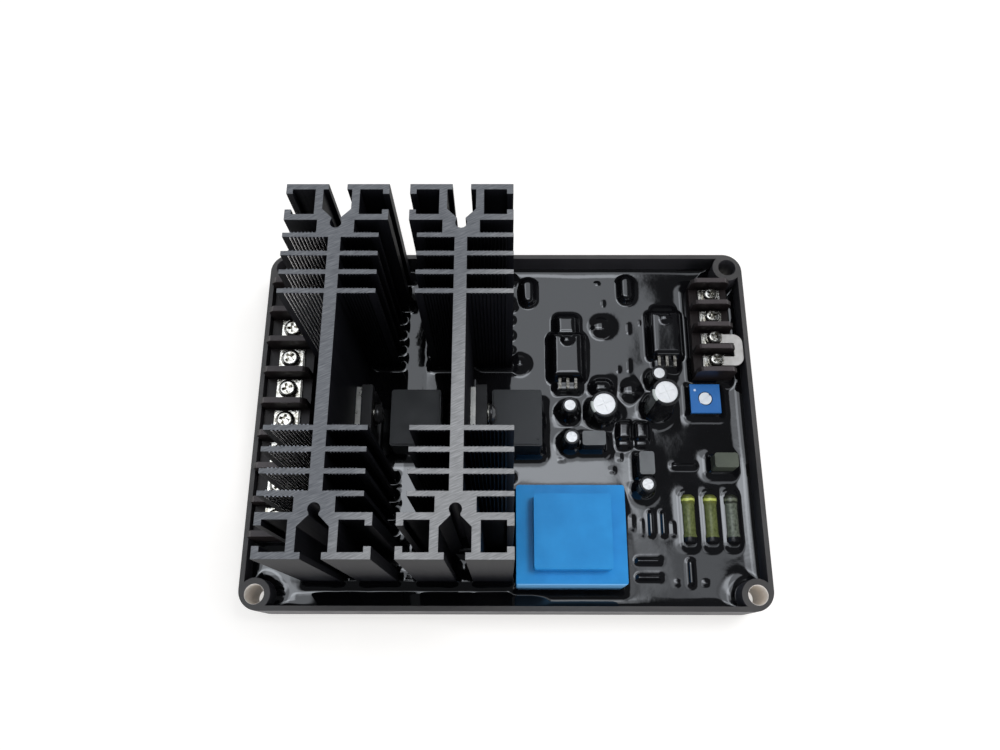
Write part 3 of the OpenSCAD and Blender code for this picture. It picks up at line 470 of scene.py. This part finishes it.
# Heatsinks: aluminium extrusions sawn to length, black anodised, standing on end. Their sawn
# ends show grey saw marks, and the fins' faces have fine ribs that run the whole height.
sink_metal, sink_shader = start_finish("black_anodised", 0.4, ior=1.22)
sink_up = upward(sink_metal)
saw_lines = grain(sink_metal, 1.0, 6.0, stretch=(3.2, 0.3, 1), turn=(0, 0, 24))
draw_lines = grain(sink_metal, 0.5, 3.0, stretch=(1, 1, 120))
sawn_dull = shades(sink_metal, saw_lines, (0.25, (0.085, 0.088, 0.096)),
                   (0.5, (0.138, 0.143, 0.153)), (0.75, (0.215, 0.22, 0.23)))
# The sawn ends are painted brighter towards the right heatsink's front, a painted reflection of the
# ceiling. The saw marks show in both shades.
sawn_painted_reflection = shades(sink_metal, saw_lines, (0.25, (0.18, 0.18, 0.182)),
                     (0.5, (0.265, 0.265, 0.267)), (0.75, (0.38, 0.38, 0.382)))
sink_across = calculate(sink_metal, "MULTIPLY", along_axis(sink_metal, "X"), 2.0)
sink_slant = calculate(sink_metal, "SUBTRACT", sink_across, along_axis(sink_metal, "Y"))
sink_offset = calculate(sink_metal, "ADD", sink_slant, 50 * MM)
painted_reflection_amount = calculate(sink_metal, "MULTIPLY", sink_offset, 0.03 / MM)
sawn = mixed(sink_metal, painted_reflection_amount, sawn_dull, sawn_painted_reflection)
drawn = clouded(sink_metal, draw_lines, (0.006, 0.006, 0.008), (0.011, 0.011, 0.014))
set_colour(sink_metal, sink_shader, mixed(sink_metal, sink_up, drawn, sawn))
set_roughness(sink_metal, sink_shader, mixed(sink_metal, sink_up, (0.55, 0.55, 0.55), (0.5, 0.5, 0.5)))
relief(sink_metal, sink_shader, mixed(sink_metal, sink_up, draw_lines, saw_lines), 0.03)
dress("heatsink_left", sink_metal, 0.2)
dress("heatsink_right", sink_metal, 0.2)

rib_r = 0.25
rib_first = 1.4
rib_short = 0.1
sink_low, sink_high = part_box("heatsink_left")
rib_l = sink_high.z - sink_low.z - rib_short * MM
block_l = (fin_count - 1) * fin_pitch + fin_t


def model_ribs(count, pitch, start_x, start_y):
    """The ribs on both faces of one corner's fins, from a place in millimetres."""
    bpy.ops.object.select_all(action="DESELECT")
    bpy.ops.mesh.primitive_cylinder_add(vertices=8, radius=rib_r * MM, depth=rib_l)
    ribs = bpy.context.object
    for name, copies, offset in (
        ("across", count, (pitch, 0)),
        ("faces", 2, (0, fin_t)),
        ("fins", fin_count, (0, fin_pitch)),
    ):
        row = ribs.modifiers.new(name, "ARRAY")
        row.count = copies
        row.use_relative_offset = False
        row.use_constant_offset = True
        row.constant_offset_displace = (offset[0] * MM, offset[1] * MM, 0)
        bpy.ops.object.modifier_apply(modifier=name)
    ribs.location = (start_x * MM, start_y * MM, (sink_low.z + sink_high.z) / 2)
    return ribs


rib_blocks = []
for node, long_side in (("heatsink_left", -1), ("heatsink_right", 1)):
    sink_x, sink_y, _, half_l, _ = footprint(node)
    for side in (-1, 1):
        rib_count, rib_pitch = (10, 0.98) if side == long_side else (9, 0.8)
        block_w = (rib_count - 1) * rib_pitch
        block_x = sink_x + side * (web_half + rib_first + block_w / 2) - block_w / 2
        for end in (-1, 1):
            block_y = sink_y + end * (half_l - fin_first - (fin_count - 1) * fin_pitch / 2) - block_l / 2
            rib_blocks.append(model_ribs(rib_count, rib_pitch, block_x, block_y))
bpy.ops.object.select_all(action="DESELECT")
for block in rib_blocks:
    block.select_set(True)
bpy.context.view_layer.objects.active = rib_blocks[0]
bpy.ops.object.join()
fin_ribs = bpy.context.object
fin_ribs.name = "fin_ribs"
bpy.ops.object.transform_apply(location=True, rotation=True, scale=True)
bpy.ops.object.shade_smooth_by_angle(angle=radians(50))
rib_metal, rib_shader = start_finish("rib_anodised", 0.22, metallic=0.9)
# Ribs on the left heatsink's outer fins get a bright metal colour, a painted reflection of light from the
# left; the other ribs are near black.
rib_painted_sheen = clouded(rib_metal, grain(rib_metal, 1.0, 3.0), (0.75, 0.73, 0.73), (0.95, 0.93, 0.93))
left_web = footprint("heatsink_left")[0]
rib_sheen_side = calculate(rib_metal, "LESS_THAN", along_axis(rib_metal, "X"), left_web * MM)
rib_sides = mixed(rib_metal, rib_sheen_side, (0.012, 0.012, 0.015), rib_painted_sheen)
set_colour(rib_metal, rib_shader, mixed(rib_metal, upward(rib_metal), rib_sides, (0.09, 0.092, 0.1)))
set_roughness(rib_metal, rib_shader, mixed(rib_metal, rib_sheen_side, (0.6, 0.6, 0.6), (0.22, 0.22, 0.22)))
fin_ribs.data.materials.append(rib_metal)
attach(fin_ribs, "regulator")

# Power devices: flat epoxy packages on a tinned tab, each held to its heatsink's web by a
# blackened pan head screw, a bright washer and a nut behind the web.
package_epoxy = moulding("package_epoxy", (0.009, 0.009, 0.01), (0.015, 0.015, 0.016), 0.45, 0.25, 0.012)
tinned, tinned_shader = start_finish("tinned_metal", 0.3, metallic=1.0)
tin_cloud = grain(tinned, 1.6, 5.0)
set_colour(tinned, tinned_shader, clouded(tinned, tin_cloud, (0.5, 0.48, 0.44), (0.68, 0.67, 0.63)))
set_roughness(tinned, tinned_shader, clouded(tinned, tin_cloud, (0.22,), (0.42,)))
relief(tinned, tinned_shader, grain(tinned, 0.4, 3.0), 0.012)
blackened, blackened_shader = start_finish("blackened_steel", 0.28, ior=1.9)
blackened_cloud = grain(blackened, 1.5, 4.0)
blackened_shade = clouded(blackened, blackened_cloud, (0.012, 0.012, 0.013), (0.024, 0.024, 0.025))
set_colour(blackened, blackened_shader, blackened_shade)
relief(blackened, blackened_shader, grain(blackened, 0.3, 2.0), 0.01)
nickel, nickel_shader = start_finish("nickel_plate", 0.2, metallic=1.0)
nickel_cloud = grain(nickel, 1.2, 5.0)
nickel_shade = shades(nickel, nickel_cloud, (0.36, (0.26, 0.24, 0.2)),
                      (0.52, (0.62, 0.6, 0.54)), (0.7, (0.8, 0.79, 0.75)))
set_colour(nickel, nickel_shader, nickel_shade)
set_roughness(nickel, nickel_shader, clouded(nickel, nickel_cloud, (0.14,), (0.3,)))
relief(nickel, nickel_shader, grain(nickel, 0.7, 3.0), 0.05)
for side in ("left", "right"):
    dress(f"device_{side}_body", package_epoxy, 0.3)
    dress(f"device_{side}_leadframe", tinned, 0.15)
dress("device_screws", blackened, 0.2)
dress("device_washers", nickel, 0.1)
dress("device_nuts", nickel, 0.2)

# Terminal strips: brownish black mouldings with a divider beside each way, paler along the top and
# painted darker below it, as painted shade in the cells between the dividers. Each way has a tinned
# contact, a loose nickel clamp plate and a pan head screw with a crossed recess.
strip_plastic, strip_shader = start_finish("strip_plastic", 0.36, ior=1.3)
strip_cloud = grain(strip_plastic, 6.0, 3.0)
strip_top_tone = clouded(strip_plastic, strip_cloud, (0.055, 0.047, 0.048), (0.075, 0.065, 0.066))
# Below the top band the mouldings are painted darker, as painted shade in the cells between the dividers;
# the relay bases, lower still, take this dark colour all over.
strip_painted_low_shade = clouded(strip_plastic, strip_cloud, (0.012, 0.009, 0.009), (0.02, 0.016, 0.016))
rubbed_depth = 0.6
left_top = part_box("left_strip_body")[1].z
right_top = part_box("right_strip_body")[1].z
on_right = calculate(strip_plastic, "GREATER_THAN", along_axis(strip_plastic, "X"), 0.0)
strip_step = calculate(strip_plastic, "MULTIPLY", on_right, right_top - left_top)
strip_above = calculate(strip_plastic, "SUBTRACT", along_axis(strip_plastic, "Z"), strip_step)
strip_high = calculate(strip_plastic, "GREATER_THAN", strip_above, left_top - rubbed_depth * MM)
set_colour(strip_plastic, strip_shader, mixed(strip_plastic, strip_high, strip_painted_low_shade, strip_top_tone))
relief(strip_plastic, strip_shader, grain(strip_plastic, 0.4, 2.0), 0.02)
head_h = 2.0
head_round = 1.05
shank_r = 1.5
shank_l = 5.0
recess_length = 1.3
recess_width = 0.38
recess_h = 1.5
recess_drop = 0.35
recess_taper = 0.55


def model_screw(radius):
    """A pan head screw under its own top, with a tapered cross sunk in the head."""
    bpy.ops.object.select_all(action="DESELECT")
    bpy.ops.mesh.primitive_cylinder_add(vertices=40, radius=radius * MM, depth=head_h * MM,
                                        location=(0, 0, -head_h / 2 * MM))
    screw = bpy.context.object
    bpy.ops.object.transform_apply(location=True, rotation=False, scale=False)
    bpy.ops.object.mode_set(mode="EDIT")
    bpy.ops.mesh.select_all(action="DESELECT")
    bpy.ops.object.mode_set(mode="OBJECT")
    for edge in screw.data.edges:
        ends = [screw.data.vertices[index].co.z for index in edge.vertices]
        edge.select = min(ends) > -0.01 * MM
    bpy.ops.object.mode_set(mode="EDIT")
    bpy.ops.mesh.bevel(offset=head_round * MM, segments=6, profile=0.5, affect="EDGES")
    bpy.ops.mesh.select_all(action="DESELECT")
    bpy.ops.object.mode_set(mode="OBJECT")
    for face in screw.data.polygons:
        face.select = face.normal.z < -0.9
    bpy.ops.object.mode_set(mode="EDIT")
    bpy.ops.mesh.inset(thickness=(radius - shank_r) * MM)
    bpy.ops.mesh.extrude_region_move(TRANSFORM_OT_translate={"value": (0, 0, -shank_l * MM)})
    bpy.ops.object.mode_set(mode="OBJECT")
    cutters = []
    for turn in (0, 90):
        bpy.ops.mesh.primitive_cube_add(size=1, location=(0, 0, -recess_drop * MM))
        cutter = bpy.context.object
        cutter.scale = (radius * recess_length * MM, radius * recess_width * MM, recess_h * MM)
        cutter.rotation_euler.z = radians(turn)
        bpy.ops.object.transform_apply(location=True, rotation=True, scale=True)
        for vertex in cutter.data.vertices:
            if vertex.co.z < 0:
                vertex.co.x *= recess_taper
                vertex.co.y *= recess_taper
        cutters.append(cutter)
    for cutter in cutters:
        cut = screw.modifiers.new("recess", "BOOLEAN")
        cut.operation = "DIFFERENCE"
        cut.solver = "EXACT"
        cut.object = cutter
        bpy.ops.object.select_all(action="DESELECT")
        bpy.context.view_layer.objects.active = screw
        screw.select_set(True)
        bpy.ops.object.modifier_apply(modifier="recess")
        bpy.data.objects.remove(cutter)
    bpy.ops.object.shade_smooth_by_angle(angle=radians(30))
    return screw


def place_screws(node, name, radius, turns, lifts):
    """Copies of one screw along a strip, each left at its own turn."""
    low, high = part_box(node)
    pattern = model_screw(radius)
    first = low.y + radius * MM
    pitch = (high.y - low.y - 2 * radius * MM) / (len(turns) - 1)
    seat = low.z + (shank_l + head_h) * MM
    screws = []
    for k, (turn, lift) in enumerate(zip(turns, lifts)):
        screw = pattern.copy()
        screw.data = pattern.data.copy()
        bpy.context.collection.objects.link(screw)
        screw.location = ((low.x + high.x) / 2, first + k * pitch, seat + lift * MM)
        screw.rotation_euler.z = radians(turn)
        screws.append(screw)
    bpy.data.objects.remove(pattern)
    bpy.ops.object.select_all(action="DESELECT")
    for screw in screws:
        screw.select_set(True)
    bpy.context.view_layer.objects.active = screws[0]
    bpy.ops.object.join()
    group = bpy.context.object
    group.name = name
    bpy.ops.object.transform_apply(location=True, rotation=True, scale=True)
    group.data.materials.append(nickel)
    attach(group, "regulator")
    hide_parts(node)


for side in ("left", "right"):
    dress(f"{side}_strip_body", strip_plastic, 0.25)
    dress(f"{side}_strip_contacts", tinned, 0.1)
    dress(f"{side}_strip_clamps", nickel, 0.2)
place_screws("left_strip_screws", "left_terminal_screws", 2.9, (12, 55, 31, 74, 20, 44, 8, 63), (0,) * 8)
place_screws("right_strip_screws", "right_terminal_screws", 2.4, (38, 66, 15, 50), (0.8, 0.8, 0, 0))

# Link: a flat U stamped from brass and tinned, under the two front screws of the short strip.
# It joins their two ways, and its tin has gone dull.
link_tin, link_shader = start_finish("link_tin", 0.5, metallic=0.35)
link_cloud = grain(link_tin, 2.5, 5.0)
set_colour(link_tin, link_shader, clouded(link_tin, link_cloud, (0.55, 0.53, 0.5), (0.7, 0.68, 0.65)))
relief(link_tin, link_shader, grain(link_tin, 0.4, 3.0), 0.012)
dress("terminal_link", link_tin, 0.15)

# Relays: sealed boxes, a dark grey satin cover over a black base, with a plain top. Each stands
# on the board with the resin round its foot.
relay_grey = moulding("relay_grey", (0.026, 0.028, 0.03), (0.036, 0.038, 0.041), 0.5, 0.3, 0.015)
for side in ("left", "right"):
    dress(f"relay_{side}_cover", relay_grey, 0.3)
    dress(f"relay_{side}_base", strip_plastic, 0.1)

# Transformer: windings cast into a satin blue case with a raised middle. The case's front
# face is painted paler than the rest, as painted light that it catches from the front.
transformer_blue, transformer_shader = start_finish("transformer_blue", 0.42)
transformer_cloud = grain(transformer_blue, 6.0, 3.0)
transformer_case = clouded(transformer_blue, transformer_cloud, (0.008, 0.215, 0.54), (0.014, 0.255, 0.61))
# The front face gets a paler blue: painted light that it catches from the front.
transformer_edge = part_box("transformer")[0].y + 0.3 * MM
transformer_along = along_axis(transformer_blue, "Y")
transformer_front_painted_light = calculate(transformer_blue, "LESS_THAN", transformer_along, transformer_edge)
transformer_shade = mixed(transformer_blue, transformer_front_painted_light, transformer_case, (0.16, 0.42, 0.72))
set_colour(transformer_blue, transformer_shader, transformer_shade)
relief(transformer_blue, transformer_shader, grain(transformer_blue, 0.5, 2.0), 0.02)
dress("transformer", transformer_blue, 0.45)


# Trimmer: a square blue body with a white rotor that a screwdriver turns. A pale pip marks
# the body's rear left corner.
def spot(material, place, radius):
    """1 within a radius in millimetres of a place, 0 elsewhere."""
    tree = material.node_tree
    coordinates = tree.nodes.new("ShaderNodeTexCoord")
    distance = tree.nodes.new("ShaderNodeVectorMath")
    distance.operation = "DISTANCE"
    distance.inputs[1].default_value = [value * MM for value in place]
    tree.links.new(coordinates.outputs["Object"], distance.inputs[0])
    return calculate(material, "LESS_THAN", distance.outputs["Value"], radius * MM)


trimmer_x, trimmer_y, _, _, trimmer_top = footprint("trimmer_body")
pip_at = (trimmer_x - 3.2, trimmer_y + 2.8, trimmer_top)
pip_r = 0.4
trimmer_blue, trimmer_shader = start_finish("trimmer_blue", 0.32)
trimmer_cloud = grain(trimmer_blue, 4.0, 3.0)
trimmer_case = clouded(trimmer_blue, trimmer_cloud, (0.018, 0.125, 0.38), (0.026, 0.15, 0.44))
trimmer_pip = spot(trimmer_blue, pip_at, pip_r)
set_colour(trimmer_blue, trimmer_shader, mixed(trimmer_blue, trimmer_pip, trimmer_case, (0.55, 0.65, 0.8)))
relief(trimmer_blue, trimmer_shader, grain(trimmer_blue, 0.4, 2.0), 0.012)
rotor_white = moulding("rotor_white", (0.72, 0.75, 0.78), (0.82, 0.84, 0.86), 0.4, 0.3, 0.01)
dress("trimmer_body", trimmer_blue, 0.25)
dress("trimmer_rotor", rotor_white, 0.12)

# Electrolytic capacitors: stamped aluminium cans in black shrunk sleeves, with a crossed vent in
# the bare top. A grey stripe runs down each sleeve's left side, painted dark there as shade, and
# pale where it turns over the rim.
can_metal, can_shader = start_finish("can_aluminium", 0.35, metallic=0.45)
can_cloud = grain(can_metal, 1.2, 4.0)
set_colour(can_metal, can_shader, clouded(can_metal, can_cloud, (0.86, 0.86, 0.86), (0.95, 0.95, 0.95)))
relief(can_metal, can_shader, grain(can_metal, 0.3, 3.0), 0.01)
sleeve_film, sleeve_shader = start_finish("sleeve_film", 0.25)
sleeve_cloud = grain(sleeve_film, 2.5, 4.0)
sleeve_black = clouded(sleeve_film, sleeve_cloud, (0.006, 0.006, 0.007), (0.012, 0.012, 0.013))
sleeve_pale = clouded(sleeve_film, sleeve_cloud, (0.38, 0.41, 0.39), (0.5, 0.53, 0.5))
# Down the side the stripe is painted dark grey, as painted shade; only on the rim is it pale.
stripe_side_shaded = facing(sleeve_film, (-0.95, -0.31, 0), 0.93)
sleeve_sides_shaded = mixed(sleeve_film, stripe_side_shaded, sleeve_black, (0.1, 0.105, 0.1))
stripe_r = 1.9
stripe_tops = []
for name in ("middle_capacitor_sleeve", "tall_capacitor_sleeve"):
    sleeve_x, sleeve_y, sleeve_r, _, sleeve_top = footprint(name)
    stripe_at = (sleeve_x - 0.93 * sleeve_r, sleeve_y - 0.25 * sleeve_r, sleeve_top)
    stripe_tops.append(spot(sleeve_film, stripe_at, stripe_r))
stripe_near = calculate(sleeve_film, "MAXIMUM", stripe_tops[0], stripe_tops[1])
stripe_rim = calculate(sleeve_film, "MULTIPLY", stripe_near, facing(sleeve_film, (0, 0, 1), 0.3))
set_colour(sleeve_film, sleeve_shader, mixed(sleeve_film, stripe_rim, sleeve_sides_shaded, sleeve_pale))
relief(sleeve_film, sleeve_shader, grain(sleeve_film, 0.9, 3.0), 0.03)
for name in ("middle_capacitor_can", "tall_capacitor_can", "small_capacitor_cans"):
    dress(name, can_metal, 0.12)
for name in ("middle_capacitor_sleeve", "tall_capacitor_sleeve", "small_capacitor_sleeves"):
    dress(name, sleeve_film, 0.12)

# Film capacitors: wound film in moulded boxes of grey plastic, lighter on top and dark on
# their sides. The box beside the right wall is olive.
film_case, film_shader = start_finish("film_case", 0.4)
film_cloud = grain(film_case, 6.0, 3.0)
film_side = clouded(film_case, film_cloud, (0.03, 0.031, 0.032), (0.045, 0.046, 0.047))
film_top = clouded(film_case, film_cloud, (0.115, 0.12, 0.124), (0.16, 0.166, 0.168))
set_colour(film_case, film_shader, mixed(film_case, upward(film_case), film_side, film_top))
relief(film_case, film_shader, grain(film_case, 0.3, 2.0), 0.015)
film_olive = moulding("film_olive", (0.06, 0.068, 0.052), (0.085, 0.095, 0.072), 0.42, 0.3, 0.015)
for place in ("middle", "front"):
    dress(f"film_capacitor_{place}", film_case, 0.3)
dress("film_capacitor_right", film_olive, 0.3)

# Transistors: they lie flat under the resin, and only their three tinned leads stand clear of
# it. Flux and resin have stained the tin.
stained_tin, stained_shader = start_finish("stained_tin", 0.45, metallic=0.8)
stain = grain(stained_tin, 0.8, 5.0)
stained_shade = shades(stained_tin, stain, (0.35, (0.12, 0.11, 0.09)), (0.6, (0.42, 0.4, 0.36)))
set_colour(stained_tin, stained_shader, stained_shade)
relief(stained_tin, stained_shader, stain, 0.03)
for side in ("left", "right"):
    dress(f"transistor_{side}_leadframe", stained_tin, 0.1)


# Power resistors: wound rods on tinned wires under olive lacquer, with a yellow green band near
# the rear end. Resin has run over their front ends and left a dull film on the right one.
def along_piece(material, start, end):
    """1 between two places along Y in millimetres, 0 elsewhere."""
    wavy = calculate(material, "MULTIPLY", grain(material, 1.1, 2.0), 0.7 * MM)
    ragged = calculate(material, "ADD", along_axis(material, "Y"), wavy)
    after = calculate(material, "GREATER_THAN", ragged, start * MM)
    before = calculate(material, "LESS_THAN", ragged, end * MM)
    return calculate(material, "MULTIPLY", after, before)


def lacquer(name, dark, light, band):
    """Lacquer on a rod along Y: a dark end with a bright line in it, and resin on the other end."""
    material, shader = start_finish(name, 0.3)
    _, rod_y, _, rod_half, _ = footprint("power_resistor_left")
    end_l = 2.4
    clear_start = rod_y - rod_half + end_l
    band_start = rod_y + rod_half - end_l
    line_start = band_start + 0.8
    line_end = line_start + 0.8
    past_rear = rod_y + rod_half + 0.9
    body = clouded(material, grain(material, 0.9, 6.0), dark, light)
    band_dark = tuple(0.3 * part for part in band)
    band_bright = tuple(1.4 * part for part in band)
    banded = mixed(material, along_piece(material, band_start, past_rear), body, band_dark)
    bright = mixed(material, along_piece(material, line_start, line_end), banded, band_bright)
    clear = along_piece(material, clear_start, past_rear)
    set_colour(material, shader, mixed(material, clear, (0.008, 0.008, 0.009), bright))
    relief(material, shader, grain(material, 0.5, 4.0), 0.05)
    return material


olive = lacquer("olive_lacquer", (0.06, 0.075, 0.022), (0.15, 0.17, 0.06), (0.36, 0.4, 0.09))
dulled = lacquer("dulled_lacquer", (0.05, 0.06, 0.045), (0.17, 0.19, 0.15), (0.1, 0.11, 0.08))
dress("power_resistor_left", olive, 0.15)
dress("power_resistor_middle", olive, 0.15)
dress("power_resistor_right", dulled, 0.15)
dress("power_resistor_wires", tinned)

# Surroundings: a camera above the tray's front edge, a white floor that reaches past the view,
# and soft light from above, from the right and from the front.
camera = bpy.data.cameras.new("camera")
camera.lens = 30.0
camera.sensor_width = 36.0
camera.clip_start = 0.01
camera_object = bpy.data.objects.new("camera", camera)
bpy.context.collection.objects.link(camera_object)
camera_object.location = (-0.47 * MM, -71.48 * MM, 263.96 * MM)
camera_object.rotation_euler = (radians(19.181), radians(0.266), radians(0.142))
bpy.context.scene.camera = camera_object

bpy.ops.mesh.primitive_plane_add(size=6, location=(0, 0, -0.02 * MM))
floor = bpy.context.object
floor.name = "floor"
floor_white, floor_shader = start_finish("floor_white", 0.7)
floor_shader.inputs["Base Color"].default_value = (0.5, 0.495, 0.49, 1)
floor_from_front = calculate(floor_white, "ADD", along_axis(floor_white, "Y"), 0.2)
floor_rear = calculate(floor_white, "MULTIPLY", floor_from_front, 5.0)
floor_near = shades(floor_white, floor_rear, (0.1, (0.7, 0.66, 0.6)), (0.6, (0.84, 0.82, 0.79)))
floor_place = floor_white.node_tree.nodes.new("ShaderNodeTexCoord")
floor_away = floor_white.node_tree.nodes.new("ShaderNodeVectorMath")
floor_away.operation = "LENGTH"
floor_white.node_tree.links.new(floor_place.outputs["Object"], floor_away.inputs[0])
floor_past = calculate(floor_white, "SUBTRACT", floor_away.outputs["Value"], 0.3)
floor_far = calculate(floor_white, "MULTIPLY", floor_past, 2.5)
floor_warm = mixed(floor_white, floor_far, floor_near, (1.05, 1.05, 1.05))
floor_white.node_tree.links.new(floor_warm, floor_shader.inputs["Emission Color"])
floor_path = floor_white.node_tree.nodes.new("ShaderNodeLightPath")
floor_direct = floor_path.outputs["Is Camera Ray"]
floor_mirrored = floor_path.outputs["Is Glossy Ray"]
floor_seen = calculate(floor_white, "MAXIMUM", floor_direct, floor_mirrored)
floor_glow = calculate(floor_white, "MULTIPLY", floor_seen, 0.72)
floor_white.node_tree.links.new(floor_glow, floor_shader.inputs["Emission Strength"])
floor.data.materials.append(floor_white)

key = bpy.data.lights.new("key", "AREA")
key.shape = "RECTANGLE"
key.size = 0.3
key.size_y = 0.3
key.energy = 5.0
key_object = bpy.data.objects.new("key", key)
bpy.context.collection.objects.link(key_object)
key_object.location = (0.4, 0.15, 1.0)
key_object.rotation_euler = (radians(-8), radians(22), 0)
key_object.visible_glossy = False

fill = bpy.data.lights.new("fill", "AREA")
fill.size = 0.6
fill.energy = 3.0
fill_object = bpy.data.objects.new("fill", fill)
bpy.context.collection.objects.link(fill_object)
fill_object.location = (0, -1.0, 0.3)
fill_object.rotation_euler = (radians(74), 0, 0)
fill_object.visible_glossy = False

world = bpy.data.worlds.new("studio")
bpy.context.scene.world = world
world.use_nodes = True
sky = world.node_tree
background = sky.nodes["Background"]
path = sky.nodes.new("ShaderNodeLightPath")
direction = sky.nodes.new("ShaderNodeTexCoord")
parts = sky.nodes.new("ShaderNodeSeparateXYZ")
sky.links.new(direction.outputs["Generated"], parts.inputs["Vector"])


def step_between(amount, start, end):
    """0 before start, 1 after end, smooth between them."""
    ramp = sky.nodes.new("ShaderNodeMapRange")
    ramp.interpolation_type = "SMOOTHSTEP"
    ramp.inputs["From Min"].default_value = start
    ramp.inputs["From Max"].default_value = end
    sky.links.new(amount, ramp.inputs["Value"])
    return ramp.outputs["Result"]


def within(amount, low, low_full, high_full, high):
    """1 inside a range with soft ends, 0 outside it."""
    start = step_between(amount, low, low_full)
    end = step_between(amount, high, high_full)
    return calculate(world, "MULTIPLY", start, end)


height_up = calculate(world, "MAXIMUM", parts.outputs["Z"], 0.02)
slant_x = calculate(world, "DIVIDE", parts.outputs["X"], height_up)
slant_y = calculate(world, "DIVIDE", parts.outputs["Y"], height_up)


def panel(range_x, range_y):
    """1 on a rectangle overhead, given by its ranges of slant along X and Y, 0 around it."""
    return calculate(world, "MULTIPLY", within(slant_x, *range_x), within(slant_y, *range_y))


# Glossy surfaces mirror the ceiling, its tube, two side panels and the pale horizon.
ceiling = panel((-0.8, -0.62, 0.155, 0.205), (-0.12, 0.03, 0.55, 0.75))
tube = panel((-0.6, -0.45, 0.12, 0.19), (0.1, 0.17, 0.23, 0.28))
right_panel = panel((0.16, 0.22, 0.32, 0.42), (0.0, 0.05, 0.12, 0.15))
left_panel = panel((-0.34, -0.26, -0.14, -0.07), (-0.1, 0.0, 0.5, 0.7))
horizon = step_between(parts.outputs["Z"], 0.4, 0.12)
reflected = calculate(world, "MULTIPLY", ceiling, 1.25)
for light, brightness in ((tube, 2.2), (right_panel, 0.9), (horizon, 0.85), (left_panel, 1.3)):
    reflected = calculate(world, "ADD", reflected, calculate(world, "MULTIPLY", light, brightness))
reflected = calculate(world, "ADD", reflected, 0.06)
ambient = 0.62
mirrored = calculate(world, "SUBTRACT", reflected, ambient)
glossy = calculate(world, "MULTIPLY", path.outputs["Is Glossy Ray"], mirrored)
strength = calculate(world, "ADD", ambient, glossy)
seen = calculate(world, "MULTIPLY", path.outputs["Is Camera Ray"], 1.08)
strength = calculate(world, "MAXIMUM", strength, seen)
sky.links.new(strength, background.inputs["Strength"])
background.inputs["Color"].default_value = (0.93, 0.98, 1.05, 1)

bpy.context.scene.view_settings.view_transform = "Standard"
